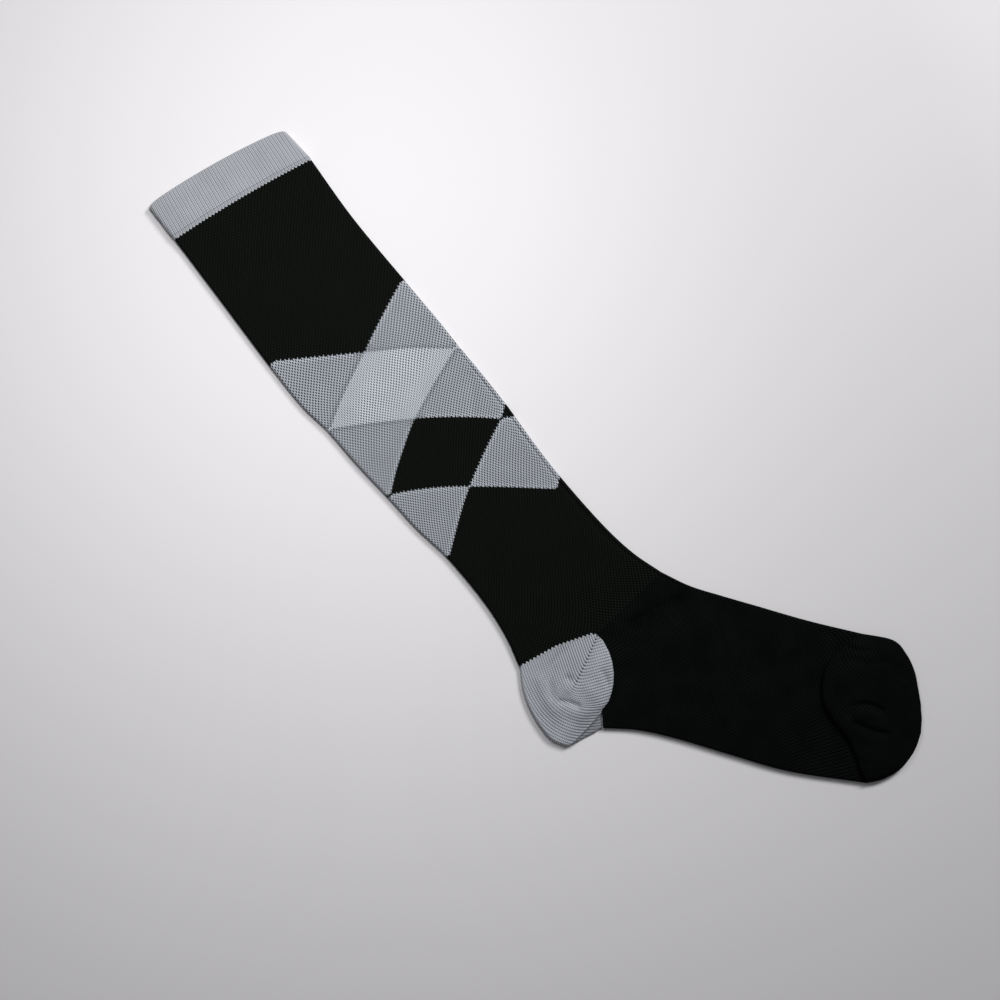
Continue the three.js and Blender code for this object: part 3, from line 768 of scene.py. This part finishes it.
def black_knit(colour, sizes):
    """Black nylon and elastane tuck knit: it swallows light, with a trace of its mesh."""
    material, add, across, along = new_knit("black_nylon_tuck_knit")
    mesh = eyelets(add, across, along, sizes, 0.8, 0.3)
    shade = add(RANGE, (mesh, -0.7, 0.7, 2.5, 0.0))
    dyed = add("ShaderNodeHueSaturation", {"Color": tuple(colour), "Value": shade})
    height = add(MATH, (mesh, -0.5), operation="MULTIPLY")
    shader = {"Roughness": 0.9, "Specular IOR Level": 0.03}
    finish_knit(add, cloudy(add, dyed, 0.25), height, 0.14 * MM, shader)
    return material


def argyle_knit(colours, sizes, seams):
    """Nylon and elastane jacquard knit: matt diamonds whose slanting sides step one stitch
    at a time, with the black yarn behind them showing through small eyelets."""
    material, add, across, along = new_knit("argyle_nylon_jacquard_knit")
    width, height = stitch_size(sizes)

    # The middle of the stitch that a place belongs to. Stitches are V-shaped.
    column = add(MATH, (across, width), operation="DIVIDE")
    lean = add(MATH, (column, 0.5), operation="PINGPONG")
    tip = add(MATH, (lean, 1.5 * height), operation="MULTIPLY")
    leaned = add(MATH, (along, tip), operation="SUBTRACT")
    whole_column = add(MATH, (column,), operation="FLOOR")
    row = add(MATH, (leaned, height), operation="DIVIDE")
    whole_row = add(MATH, (row,), operation="FLOOR")
    share = width / QUARTER
    stitch_across = add(MATH, (whole_column, share, 0.5 * share), operation="MULTIPLY_ADD")
    stitch_along = add(MATH, (whole_row, height, height), operation="MULTIPLY_ADD")

    # Side diamonds are centred on the tube's folds, and the others on its two middles.
    aside = add(MATH, (stitch_across, 1.0), operation="PINGPONG")
    halves = add(MATH, (stitch_along, 2 / DIAMOND), operation="MULTIPLY")
    endwise = add(MATH, (halves, 1.0), operation="PINGPONG")
    reach = add(MATH, (aside, endwise), operation="ADD")
    in_side = add(MATH, (reach, 1.0), operation="GREATER_THAN")
    below_top = add(MATH, (stitch_along, 0.0), operation="GREATER_THAN")
    above_end = add(MATH, (stitch_along, DIAMOND_ROWS * DIAMOND), operation="LESS_THAN")
    banded = add(MATH, (below_top, above_end), operation="MULTIPLY")
    side = add(MATH, (in_side, banded), operation="MULTIPLY")
    pale_row = add(MATH, (stitch_along, DIAMOND, DIAMOND / 2), operation="COMPARE")
    other = add(MATH, (1.0, in_side), operation="SUBTRACT")
    pale = add(MATH, (other, pale_row), operation="MULTIPLY")

    # Stretched knit closes its eyelets along two sides of the pale diamond.
    endways = add(MATH, (along, 2 / DIAMOND, -2.0), operation="MULTIPLY_ADD")
    slant = add(MATH, (across, 1 / QUARTER, endways), operation="MULTIPLY_ADD")
    edgeward = add(MATH, (slant,), operation="ABSOLUTE")
    stretched = add(RANGE, (edgeward, 0.35, 0.8, 0.0, 1.0))
    closed = add(MATH, (stretched, pale), operation="MULTIPLY")

    # Teeth of the neighbours' grey yarn at the cuff's seam and at the heel's.
    tooth_count = add(MATH, (across, 2.3), operation="DIVIDE")
    tooth = add(MATH, (tooth_count, 0.5), operation="PINGPONG")
    cuff_reach = add(MATH, (tooth, 2.0, seams["cuff"]), operation="MULTIPLY_ADD")
    cuff_teeth = add(MATH, (along, cuff_reach), operation="LESS_THAN")
    heel_reach = add(MATH, (tooth, -2.4, seams["heel"]), operation="MULTIPLY_ADD")
    past_heel = add(MATH, (along, heel_reach), operation="GREATER_THAN")
    half_turn = add(MATH, (across, math.pi / (2 * QUARTER)), operation="MULTIPLY")
    backward = add(MATH, (half_turn,), operation="SINE")
    at_back = add(MATH, (backward, -0.1), operation="LESS_THAN")
    heel_teeth = add(MATH, (past_heel, at_back), operation="MULTIPLY")
    teeth = add(MATH, (cuff_teeth, heel_teeth), operation="ADD")

    # Beside black the last grey stitch gets a painted highlight, and beside the pale diamond a row of
    # painted shade.
    last_stitch = add(MATH, (reach, 1.075), operation="LESS_THAN")
    near_pale = add(MATH, (stitch_along, DIAMOND, DIAMOND / 2 + height), operation="COMPARE")
    painted_edge_shade = add(RANGE, (near_pale, 0.0, 1.0, 0.16, -0.18))
    painted_edge_light = add(MATH, (last_stitch, painted_edge_shade, 1.0), operation="MULTIPLY_ADD")

    dots = eyelets(add, across, along, sizes, 0.8, 0.3)
    furrows = eyelets(add, across, along, sizes, 0.35, 0.6)
    dark_dots = add(RANGE, (dots, -0.25, 0.6, 1.3, 0.02))
    faint_dots = add(RANGE, (furrows, -0.4, 0.65, 1.3, 0.2))
    dotted = add("ShaderNodeMix", {0: closed, 2: dark_dots, 3: faint_dots}, data_type="FLOAT")
    black_mesh = add(RANGE, (dots, -0.7, 0.7, 2.5, 0.0))

    mid_grey, pale_grey = tuple(colours.mid_grey), tuple(colours.pale_grey)
    greys = add("ShaderNodeMix", {0: pale, 6: mid_grey, 7: pale_grey}, data_type="RGBA")
    edged = add("ShaderNodeMix", {0: side, 2: 1.0, 3: painted_edge_light}, data_type="FLOAT")
    grey_value = add(MATH, (dotted, edged), operation="MULTIPLY")
    grey_dotted = add("ShaderNodeHueSaturation", {"Color": greys.outputs[2], "Value": grey_value})
    black = tuple(colours.black)
    black_dotted = add("ShaderNodeHueSaturation", {"Color": black, "Value": black_mesh})
    grey = add(MATH, (side, pale), operation="MAXIMUM")
    patterned = add("ShaderNodeMix", {0: grey, 6: black_dotted, 7: grey_dotted}, data_type="RGBA")
    yarn = {0: teeth, 6: patterned.outputs[2], 7: tuple(colours.cuff_grey)}
    toothed = add("ShaderNodeMix", yarn, data_type="RGBA")
    relief = add(MATH, (dots, -0.5), operation="MULTIPLY")
    level = add(MATH, (grey, 0.3, relief), operation="MULTIPLY_ADD")
    shader = {"Roughness": 0.92, "Specular IOR Level": 0.03}
    finish_knit(add, cloudy(add, toothed.outputs[2], 0.04), level, 0.12 * MM, shader)
    return material


class OBJECT_OT_stocking_cuff(Operator):
    """Make the turned double band with its fine ribs"""

    bl_idname = "object.stocking_cuff"
    bl_label = "Cuff"

    def execute(self, context):
        sizes, colours = context.scene.stocking_sizes, context.scene.stocking_colours
        per_rib, fold_ribs = 5, 6
        pitch, drift = 1.18, 4.0
        wall, depth = sizes.cuff_wall / MM, sizes.rib_depth / MM
        height = 2 * wall + sizes.hollow / MM + depth / 2
        ribs = sizes.cuff_ribs
        ring = Ring(ribs * per_rib, fold_ribs * per_rib, ribs * per_rib, even=True)
        sheet = Sheet(CUFF_COURSES)

        # The ribs stand square on the seam, while the flat band's folds slant.
        def phase_at(station):
            risen = 1 - station / sheet.last
            return np.arange(ring.count + 1) / per_rib - drift / pitch * risen[:, None]

        roll = np.radians([80, 55, 30, 10])
        radius = wall / 2
        down = np.linspace(0.12, 1.94, 26)
        final = np.array([2.0, 2.0, 2.0])
        station = np.concatenate([0 * roll, down, final])
        gap = sizes.seam_gap / MM / 2
        shift = np.concatenate([radius * (1 - np.sin(roll)), 0 * down, [-0.55 - gap, -0.2 - gap, -gap]])
        inset = np.concatenate([radius * (1 - np.cos(roll)), 0 * down, [0.0, 0.12, 0.42]])
        corner = lambda station: 1.8 * np.maximum(0, 1 - station / 0.6)
        rows = rows_of(station, height, shift, 0.0, corner(station))
        phase = phase_at(station)
        grooves = rib_groove(phase[:, :-1], depth, 0.45)
        reach = np.ones(len(station))
        reach[: len(roll)] = 0.75
        wave = lambda across, x, y: 0.8 * slack(x, y) * (1 - across**8)
        outer, _ = ring.points(sheet, rows, inset[:, None] + grooves * reach[:, None], wave)
        inner_roll = roll[:3]
        station = np.concatenate([0 * inner_roll, [0.3, 1.0, 2.0]])
        shift = np.concatenate([radius * (1 - np.sin(inner_roll)), [0.0, 0.0, -gap]])
        inset = np.concatenate([wall - radius * (1 - np.cos(inner_roll)), np.full(3, wall)])
        rows = rows_of(station, height, shift, 0.0, corner(station))
        inner, _ = ring.points(sheet, rows, inset[:, None])

        # The ribs are counted round the band, and the courses from the seam up.
        def places(grid, phase):
            middle = ring.upper // 2
            along = np.linalg.norm(grid[:, middle] - outer[-1, middle], axis=-1)
            return np.stack(np.broadcast_arrays(phase * pitch, along[:, None]), -1)

        shell = tube_shell(outer, places(outer, phase), inner, places(inner, phase_at(station)))
        material = rib_knit(
            "grey_nylon_rib_knit", colours.cuff_grey, pitch, 0.45, second=0.5, border=1.9
        )
        add_piece(context, "ribbed_cuff", shell, material, "cuff")
        return {"FINISHED"}


def seamed_rows(sheet, count, height, gap):
    """Rows from one seam to the next, whose ends stand back. height is that at a station."""
    station = np.linspace(0, sheet.last, count)
    ends = np.zeros(count)
    ends[0], ends[-1] = gap, -gap
    return rows_of(station, height(station), ends)


def argyle_courses(sheet, station):
    """The knit's place along the leg, from where the argyle's rows of corners stand."""
    ends = sheet.at(station, np.tile([-1.0, 1.0], (len(station), 1)))
    return np.interp(ends[..., 0].mean(1), ARGYLE_X, ARGYLE_V)


def courses_from(start, grid, ring):
    """The knit's place along a piece that starts at start, from the upper layer's length."""
    line = grid[:, ring.upper // 2]
    return start + np.cumsum(np.linalg.norm(np.diff(line, axis=0, prepend=line[:1]), axis=-1))


class OBJECT_OT_stocking_leg(Operator):
    """Make the leg with its argyle"""

    bl_idname = "object.stocking_leg"
    bl_label = "Leg"

    def execute(self, context):
        sizes, colours = context.scene.stocking_sizes, context.scene.stocking_colours
        wall = sizes.leg_wall / MM
        gap = sizes.seam_gap / MM / 2
        sheet = Sheet(LEG_COURSES)
        ring = Ring(top=140, fold=12, bottom=64)

        # Under the thicker cuff's edge, the leg is nearly as thick.
        def height(station):
            cuff_step = 2 * (sizes.cuff_wall - sizes.leg_wall) / MM
            near_cuff = 1 - smoothstep(station, 0, 0.22)
            return 2 * wall + sizes.hollow / MM + 0.9 * cuff_step * near_cuff

        folds = lambda across, x, y: fold_height(x, y) * (1 - across**8)
        lift = lambda across, x, y: (fold_height(x, y) + slack(x, y)) * (1 - across**8) + crease(x, y)
        fine, coarse = (seamed_rows(sheet, count, height, gap) for count in (144, 23))
        outer, across = ring.points(sheet, fine, 0.0, lift)
        inner, inner_across = ring.points(sheet, coarse, wall, folds)
        along, inner_along = (argyle_courses(sheet, rows["station"]) for rows in (fine, coarse))
        places = round_the_leg(outer, across, ring, along)
        inner_places = round_the_leg(inner, inner_across, ring, inner_along)
        shell = tube_shell(outer, places, inner, inner_places)
        seams = {"cuff": float(ARGYLE_V[0]), "heel": float(places[-1, ring.upper // 4, 1])}
        material = argyle_knit(colours, sizes, seams)
        add_piece(context, "argyle_leg", shell, material, "leg")
        return {"FINISHED"}


def heel_crown(out):
    """How full the pocket's dome is at a share of the way from the apex to the fold."""
    return smoothstep(out, 0.05, 0.4) * (1 - smoothstep(out, 0.68, 1.0))


def heel_phase(x, y):
    """Ribs counted from the apex. Straight ribs come down from the leg and in from the foot,
    meet in a mitre near the apex, and bend round further out."""
    counts = []
    for turn, pitch in HEEL_RIBS:
        cos, sin = math.cos(math.radians(turn)), math.sin(math.radians(turn))
        count = ((x - APEX[0]) * cos + (y - APEX[1]) * sin) / pitch
        counts.append(np.maximum(0.01, count))
    out = np.hypot(x - APEX[0], y - APEX[1])
    sharp = HEEL_MITRE[0] + (HEEL_MITRE[1] - HEEL_MITRE[0]) * smoothstep(out, 30, 46)
    return (counts[0] ** sharp + counts[1] ** sharp) ** (1 / sharp)


def heel_step(x, y):
    """The share of the height that is left, which is all of it inside the step. The heel's painted shade
    past the step follows the same share.
    """
    distance, beyond = off_line(x, y, HEEL_STEP)
    return 1 - (1 - HEEL_STEP_SHARE) * beyond * smoothstep(distance, 0, 1.0)


class Heel:
    """The heel pocket's form: rows fan round the apex from the leg's line to the foot's, each
    out along the upper layer, round the fold and back along the lower layer."""

    def __init__(self, top, fold, bottom, gap):
        self.top, self.fold, self.bottom, self.gap = top, fold, bottom, gap
        self.count = top + fold + bottom + 1
        self.outline = HEEL_OUTLINE[None]
        self.ends = HEEL_OUTLINE[0], HEEL_OUTLINE[GORE_END], HEEL_OUTLINE[-1]
        leg_way = (self.ends[0] - APEX) / np.linalg.norm(self.ends[0] - APEX)
        foot_way = (self.ends[2] - APEX) / np.linalg.norm(self.ends[2] - APEX)
        self.from_leg = np.array([-leg_way[1], leg_way[0]])
        self.over_foot = np.array([-foot_way[1], foot_way[0]])

    def place(self, turn, out, shift):
        edge = smooth_curve(self.outline, turn[None] * (len(HEEL_OUTLINE) - 1))[0][:, None]
        share = np.where(turn < GORE, turn / GORE, (turn - GORE) / (1 - GORE))[:, None, None]
        leg_end, gore_end, sole_end = self.ends
        first = leg_end + (gore_end - leg_end) * share
        second = gore_end + (sole_end - gore_end) * share
        chord = np.where((turn < GORE)[:, None, None], first, second)
        rounded = smoothstep(out, 0.25, 0.9)[..., None] * out[..., None]
        point = APEX + (chord - APEX) * out[..., None] + (edge - chord) * rounded
        bulged = np.maximum(0, 1 - turn / GORE)[:, None] * (1 - abs(2 * out - 1))
        apart = self.gap * (1 - turn)[:, None] - HEEL_BULGE * bulged
        point = point + self.from_leg * apart[..., None]
        return point + self.over_foot * (shift - self.gap * turn[:, None])[..., None]

    def grid(self, rows, inset):
        """A grid of points. rows has each row's turn, edge height, step back, and what its
        top and its overhang are at a place out from the apex."""
        turn = np.array([row["turn"] for row in rows])
        outline = smooth_curve(self.outline, turn[None] * (len(HEEL_OUTLINE) - 1))[0]
        length = np.linalg.norm(outline - APEX, axis=1)[:, None]
        radius = np.array([row["edge"] for row in rows])[:, None] / 2
        start, end = HEEL_START / length, 1 - radius / length
        inset = np.broadcast_to(inset, (len(rows), self.count))
        cuts = np.cumsum([self.top + 1, self.fold - 1])
        on_top, round_fold, below = np.split(inset, cuts, axis=1)
        out_top = start + (end - start) * np.linspace(0, 1, self.top + 1)
        angle = np.pi * (0.5 - np.arange(1, self.fold) / self.fold)
        out_fold = end + (radius - round_fold) * np.cos(angle) / length
        out_below = end + (start - end) * np.linspace(0, 1, self.bottom + 1)
        out = np.concatenate([out_top, out_fold, out_below], 1)
        over = np.zeros(out.shape)
        over[:, : self.top + 1] = np.array([row["over"](o) for row, o in zip(rows, out_top)])
        narrow = np.clip(out / 0.5, 0.05, 1)
        step = np.array([row["step"] for row in rows])[:, None] * narrow
        place = self.place(turn, out, over - step)
        high = np.array([row["top"](o) for row, o in zip(rows, out_top)])
        soft = np.array([row["soft"] for row in rows])[:, None]
        x, y = place[:, : self.top + 1, 0], place[:, : self.top + 1, 1]
        folds = (fold_height(x, y) + slack(x, y)) * heel_crown(out_top) * soft
        levels = [
            high + folds - on_top,
            radius + (radius - round_fold) * np.sin(angle),
            below,
        ]
        level = np.concatenate(levels, 1) * heel_step(place[..., 0], place[..., 1])
        return np.concatenate([place, level[..., None]], -1)


class OBJECT_OT_stocking_heel(Operator):
    """Make the turned heel pocket with its ribs and its gore"""

    bl_idname = "object.stocking_heel"
    bl_label = "Heel"

    def execute(self, context):
        sizes, colours = context.scene.stocking_sizes, context.scene.stocking_colours
        pitch = 1.6
        wall, depth = sizes.heel_wall / MM, sizes.rib_depth / MM
        leg_height = 2 * sizes.leg_wall / MM + sizes.hollow / MM
        clear = leg_height + LIP_CLEARANCE
        heel = Heel(top=230, fold=20, bottom=60, gap=sizes.seam_gap / MM / 2)

        lip_top = lambda out: HEEL_TOP["apex"] + (HEEL_TOP["crown"] - HEEL_TOP["apex"]) * heel_crown(out)
        edge_top = lambda out, edge: lip_top(out) + (edge - lip_top(out)) * smoothstep(out, 0.72, 1.0)
        overhang = lambda out: np.interp(out, HEEL_LIP[:, 0], HEEL_LIP[:, 1])
        nothing = lambda out: 0 * out

        def pocket_row(turn, inner):
            rise = smoothstep(turn, -0.05, 0.8) * min(1, turn / 0.05)
            edge = leg_height + (HEEL_TOP["edge"] - leg_height) * smoothstep(turn, 0, 0.5)
            top = lambda out: edge + (edge_top(out, edge) - edge) * rise
            base, share = HEEL_INNER_TOP
            low = lambda out: np.minimum(top(out), base + share * top(out))
            over = lambda out: overhang(out) * turn**3
            return {
                "turn": turn,
                "edge": edge,
                "top": low if inner else top,
                "over": nothing if inner else over,
                "step": 0.0,
                "soft": min(1, turn / 0.1) * (0.5 if inner else 1),
            }

        def lip_row(reach, rise, step, inner):
            top = lambda out: clear + (edge_top(out, HEEL_TOP["edge"]) - clear) * rise
            edge = HEEL_TOP["edge"] if rise else clear
            return {
                "turn": 1.0,
                "edge": leg_height if inner else edge,
                "top": (lambda out: leg_height + 0 * out) if inner else top,
                "over": nothing if inner else (lambda out: reach * overhang(out)),
                "step": step,
                "soft": 0.0,
            }

        turns = np.linspace(0, 0.94, 112)
        outer_rows = [pocket_row(turn, False) for turn in turns]
        outer_rows += [lip_row(*roll, False) for roll in HEEL_ROLL]
        inner_rows = [pocket_row(turn, True) for turn in turns[::4]]
        inner_rows += [lip_row(*roll, True) for roll in (HEEL_ROLL[0], HEEL_ROLL[3], HEEL_ROLL[-1])]
        ribbed = np.array([1.0] * len(turns) + [1.0, 1.0, 1.0, 0.9, 0.6, 0.2, 0.0, 0.0])[:, None]
        plain = heel.grid(outer_rows, 0.0)
        grooves = rib_groove(heel_phase(plain[..., 0], plain[..., 1]), depth)
        grooves[:, heel.top + 1 :] = 0
        outer = heel.grid(outer_rows, grooves * ribbed)
        inner = heel.grid(inner_rows, wall)

        def places(grid, gore_row):
            steps = np.linalg.norm(np.diff(grid, axis=0), axis=-1)
            along = np.concatenate([np.zeros((1, grid.shape[1])), np.cumsum(steps, 0)])
            along -= along[gore_row]
            return np.stack([heel_phase(grid[..., 0], grid[..., 1]) * pitch, along], -1)

        gore_row = int(np.argmin(abs(turns - GORE)))
        shell = Shell()
        outside, inside = shell.add_points(outer), shell.add_points(inner)
        outer_places = places(outer, gore_row)
        inner_places = places(inner, gore_row // 4)
        shell.add_grid(outside, outer_places, closed=False)
        shell.add_grid(inside, inner_places, closed=False, inward=True)
        shell.add_strip(inside[0], outside[0], inner_places[0], outer_places[0], closed=False)
        shell.add_strip(outside[-1], inside[-1], outer_places[-1], inner_places[-1], closed=False)
        self.close_sides(shell, outside, inside, outer_places, inner_places)
        material = rib_knit("grey_nylon_heel_knit", colours.heel_grey, pitch, 0.42, heel=True)
        # heel_step also darkens the lower layer past the step: painted shade under the upper layer's
        # edge
        add_piece(context, "turned_heel", shell, material, "heel", heel_step)
        return {"FINISHED"}

    def close_sides(self, shell, outside, inside, outer_places, inner_places):
        """The two short rims at the apex, between rows that are finer outside than inside."""
        for column, way in ((0, -1), (-1, 1)):
            rim = np.concatenate([outside[:, column], inside[::-1, column]])
            places = np.concatenate([outer_places[:, column], inner_places[::-1, column]])
            shell.faces.append(rim[None, ::way])
            shell.places.append(places[::way])


class OBJECT_OT_stocking_foot(Operator):
    """Make the plain foot"""

    bl_idname = "object.stocking_foot"
    bl_label = "Foot"

    def execute(self, context):
        sizes, colours = context.scene.stocking_sizes, context.scene.stocking_colours
        wall = sizes.leg_wall / MM
        height = 2 * wall + sizes.hollow / MM
        gap = sizes.seam_gap / MM / 2
        sheet = Sheet(FOOT_COURSES)
        ring = Ring(top=140, fold=12, bottom=60)

        def lift(rows):
            station = rows["station"][:, None]
            under_toe = smoothstep(sheet.last - station, 0.1, 0.7)
            under_heel = smoothstep(station, 0.6, 1.6)

            def rise(across, x, y):
                instep = smoothstep(across, -0.05, 0.25)
                calm = (under_heel + (1 - under_heel) * instep) * under_toe
                soft = (fold_height(x, y) + slack(x, y)) * (1 - across**8)
                return soft * calm + crease(x, y) * under_toe

            return rise

        fine, coarse = (seamed_rows(sheet, count, lambda station: height, gap) for count in (90, 16))
        outer, across = ring.points(sheet, fine, 0.0, lift(fine))
        inner, inner_across = ring.points(sheet, coarse, wall, lift(coarse))
        along, inner_along = (courses_from(ARGYLE_V[-1], grid, ring) for grid in (outer, inner))
        places = round_the_leg(outer, across, ring, along)
        inner_places = round_the_leg(inner, inner_across, ring, inner_along)
        shell = tube_shell(outer, places, inner, inner_places)
        material = black_knit(colours.foot_black, sizes)
        add_piece(context, "plain_foot", shell, material, "foot")
        return {"FINISHED"}


class OBJECT_OT_stocking_toe(Operator):
    """Make the puffed toe cap with its edge lying over the foot"""

    bl_idname = "object.stocking_toe"
    bl_label = "Toe"

    def execute(self, context):
        sizes, colours = context.scene.stocking_sizes, context.scene.stocking_colours
        wall, lip = sizes.heel_wall / MM, sizes.toe_lip / MM
        gap = sizes.seam_gap / MM
        foot_height = 2 * sizes.leg_wall / MM + sizes.hollow / MM
        clear = foot_height + LIP_CLEARANCE
        sheet = Sheet(TOE_COURSES)
        ring = Ring(top=120, fold=14, bottom=60)

        # The lip rolls up from under the edge: each row's shift down the cap in seam gaps,
        # its reach over the foot in lips, its height and its puff
        edge = np.array(
            [
                [0.15, 0.0, clear, 0.0],
                [0.6, -0.7, clear, 0.0],
                [0.75, -0.98, clear + 0.15, 0.05],
                [0.8, -1.12, clear + 0.45, 0.3],
                [0.9, -1.08, TOE_HEIGHT, 0.6],
                [1.2, -0.88, TOE_HEIGHT, 1.15],
                [1.6, -0.62, TOE_HEIGHT, 1.6],
                [2.1, -0.3, TOE_HEIGHT, 1.85],
            ]
        )
        down = np.linspace(0.1, sheet.last, 56)
        station = np.concatenate([np.zeros(len(edge)), down, [sheet.last] * 3])
        shift = np.concatenate([edge[:, 0] * gap / 0.3, 0 * down, [0.4, 0.75, 0.9]])
        over = np.concatenate([edge[:, 1] * lip, 0 * down, [0.0, 0.0, 0.0]])
        over[: len(edge)] -= edge[:, 0] * 0.8
        end_heights = TOE_HEIGHT - np.array([0.15, 0.5, 0.9])
        height = np.concatenate([edge[:, 2], np.full(len(down), TOE_HEIGHT), end_heights])
        puff_down = 2.0 + (0.2 - 2.0) * smoothstep(down, 1.4, sheet.last)
        puff = np.concatenate([edge[:, 3], puff_down, [0.1, 0.0, 0.0]])
        folds = np.concatenate([np.clip(edge[:, 3], 0, 1), np.ones(len(down)), [0.0, 0.0, 0.0]])

        def lift(puff, folds):
            def rise(across, x, y):
                room = np.minimum(1, 3 * (1 - across**2))
                soft = (fold_height(x, y) + slack(x, y)) * folds[:, None]
                return room * (puff[:, None] + soft)

            return rise

        outer, across = ring.points(
            sheet, rows_of(station, height, shift, over), 0.0, lift(puff, folds)
        )

        # The inside starts at the foot's own height, under the lip.
        few = np.concatenate([[0.0, 0.12], np.linspace(0.5, sheet.last - 0.5, 10)])
        at_seam = few == 0
        few_puff = np.where(at_seam, 0.0, 1.2 + (-0.6 - 1.2) * smoothstep(few, 1.4, sheet.last))
        few_height = np.where(at_seam, foot_height, TOE_HEIGHT)
        few_rows = rows_of(few, few_height, np.where(at_seam, gap / 2, 0.0))
        few_lift = lift(few_puff, np.where(at_seam, 0.0, 1.0))
        inner, inner_across = ring.points(sheet, few_rows, wall, few_lift)

        def tip(station, shift):
            at, middle = np.array([station]), np.array([[0.0]])
            place = sheet.at(at, middle) + shift * sheet.heading(at, middle)
            return [*place[0, 0], TOE_HEIGHT / 2]

        along, inner_along = (courses_from(TOE_START, grid, ring) for grid in (outer, inner))
        shell = tube_shell(
            outer,
            round_the_leg(outer, across, ring, along),
            inner,
            round_the_leg(inner, inner_across, ring, inner_along),
            tips=(tip(sheet.last, 1.35), tip(few[-1], 0.0)),
        )
        material = black_knit(colours.foot_black, sizes)
        add_piece(context, "toe_cap", shell, material, "toe")
        return {"FINISHED"}


class SCENE_OT_stocking_stage(Operator):
    """Set up the table top, the soft light and the camera"""

    bl_idname = "scene.stocking_stage"
    bl_label = "Stage"

    def execute(self, context):
        scene = context.scene
        colours, stage = scene.stocking_colours, scene.stocking_stage
        aim = (np.array([265.0, 11.2]) - CENTRE) * MM
        right = np.array([math.cos(stage.view_turn), math.sin(stage.view_turn)])
        up = np.array([-right[1], right[0]])

        bpy.ops.mesh.primitive_plane_add(size=6, location=(0, 0, 0))
        table = context.active_object
        table.name = table.data.name = "table_top"
        for vertex in table.data.vertices:
            vertex.co.z = -0.1 * MM
        table.data.materials.append(self.table_material(colours))
        table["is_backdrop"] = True

        camera = bpy.data.cameras.new("overhead")
        camera.lens, camera.sensor_width = 50, 36
        camera.clip_start, camera.clip_end = 0.01, 20
        viewer = bpy.data.objects.new("overhead", camera)
        viewer.location = (*aim, stage.view_height)
        viewer.rotation_euler = (0, 0, stage.view_turn)
        scene.collection.objects.link(viewer)
        scene.camera = viewer

        def softbox(name, power, size, place, target, height):
            light = bpy.data.lights.new(name, "AREA")
            light.energy, light.size = power, size
            lamp = bpy.data.objects.new(name, light)
            start = aim + place[0] * right + place[1] * up
            end = aim + target[0] * right + target[1] * up
            lamp.location = (*start, height)
            way = Vector((*(end - start), -height))
            lamp.rotation_euler = way.to_track_quat("-Z", "Y").to_euler()
            scene.collection.objects.link(lamp)

        softbox("key_softbox", stage.key_power, 0.35, (0.62, 0.72), (-0.41, 0.06), 0.8)
        softbox("fill_softbox", stage.fill_power, 0.2, (-0.02, 0.2), (-0.68, -0.11), 0.45)

        world = bpy.data.worlds.new("room")
        add = clear_tree(world)
        sky = add("ShaderNodeBackground", {"Color": linear("f6f6fa"), "Strength": stage.room_light})
        add("ShaderNodeOutputWorld", [sky])
        scene.world = world
        scene.view_settings.view_transform = "Standard"
        return {"FINISHED"}

    def table_material(self, colours):
        """Matt laminate: plain and pale, without gloss, so only soft shadows show on it."""
        material = bpy.data.materials.new("matt_laminate_table")
        add = clear_tree(material)
        place = add("ShaderNodeTexCoord")
        mottle = {"Vector": place.outputs["Object"], "Scale": 3.0, "Detail": 2.0}
        noise = add("ShaderNodeTexNoise", mottle)
        value = add(RANGE, (noise, 0.0, 1.0, 0.985, 1.015))
        colour = add("ShaderNodeHueSaturation", {"Color": tuple(colours.table), "Value": value})
        shader = {"Base Color": colour, "Roughness": 0.85, "Specular IOR Level": 0.2}
        plain = add("ShaderNodeBsdfPrincipled", shader)
        add("ShaderNodeOutputMaterial", [plain])
        return material


class VIEW3D_PT_stocking(Panel):
    """Sizes, colours and pieces of the stocking"""

    bl_idname = "VIEW3D_PT_stocking"
    bl_label = "Compression Stocking"
    bl_space_type = "VIEW_3D"
    bl_region_type = "UI"
    bl_category = "Stocking"

    def draw(self, context):
        layout = self.layout
        for operator in OPERATORS:
            layout.operator(operator.bl_idname)
        for title, owner in (
            ("Sizes", context.scene.stocking_sizes),
            ("Colours", context.scene.stocking_colours),
            ("Stage", context.scene.stocking_stage),
        ):
            box = layout.box()
            box.label(text=title)
            for name in owner.__annotations__:
                box.prop(owner, name)


OPERATORS = (
    OBJECT_OT_stocking_cuff,
    OBJECT_OT_stocking_leg,
    OBJECT_OT_stocking_heel,
    OBJECT_OT_stocking_foot,
    OBJECT_OT_stocking_toe,
    SCENE_OT_stocking_stage,
)
GROUPS = (StockingSizes, StockingColours, StockingStage)


def register():
    for kind in (*GROUPS, *OPERATORS, VIEW3D_PT_stocking):
        bpy.utils.register_class(kind)
    bpy.types.Scene.stocking_sizes = PointerProperty(type=StockingSizes)
    bpy.types.Scene.stocking_colours = PointerProperty(type=StockingColours)
    bpy.types.Scene.stocking_stage = PointerProperty(type=StockingStage)


def unregister():
    del bpy.types.Scene.stocking_stage
    del bpy.types.Scene.stocking_colours
    del bpy.types.Scene.stocking_sizes
    for kind in reversed((*GROUPS, *OPERATORS, VIEW3D_PT_stocking)):
        bpy.utils.unregister_class(kind)


def main():
    register()
    bpy.ops.object.select_all(action="DESELECT")
    bpy.ops.object.stocking_cuff()
    bpy.ops.object.stocking_leg()
    bpy.ops.object.stocking_heel()
    bpy.ops.object.stocking_foot()
    bpy.ops.object.stocking_toe()
    bpy.ops.scene.stocking_stage()
    boxes = {"part": PART_BOX, "scene": [list(corner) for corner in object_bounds()]}


if __name__ == "__main__":
    main()
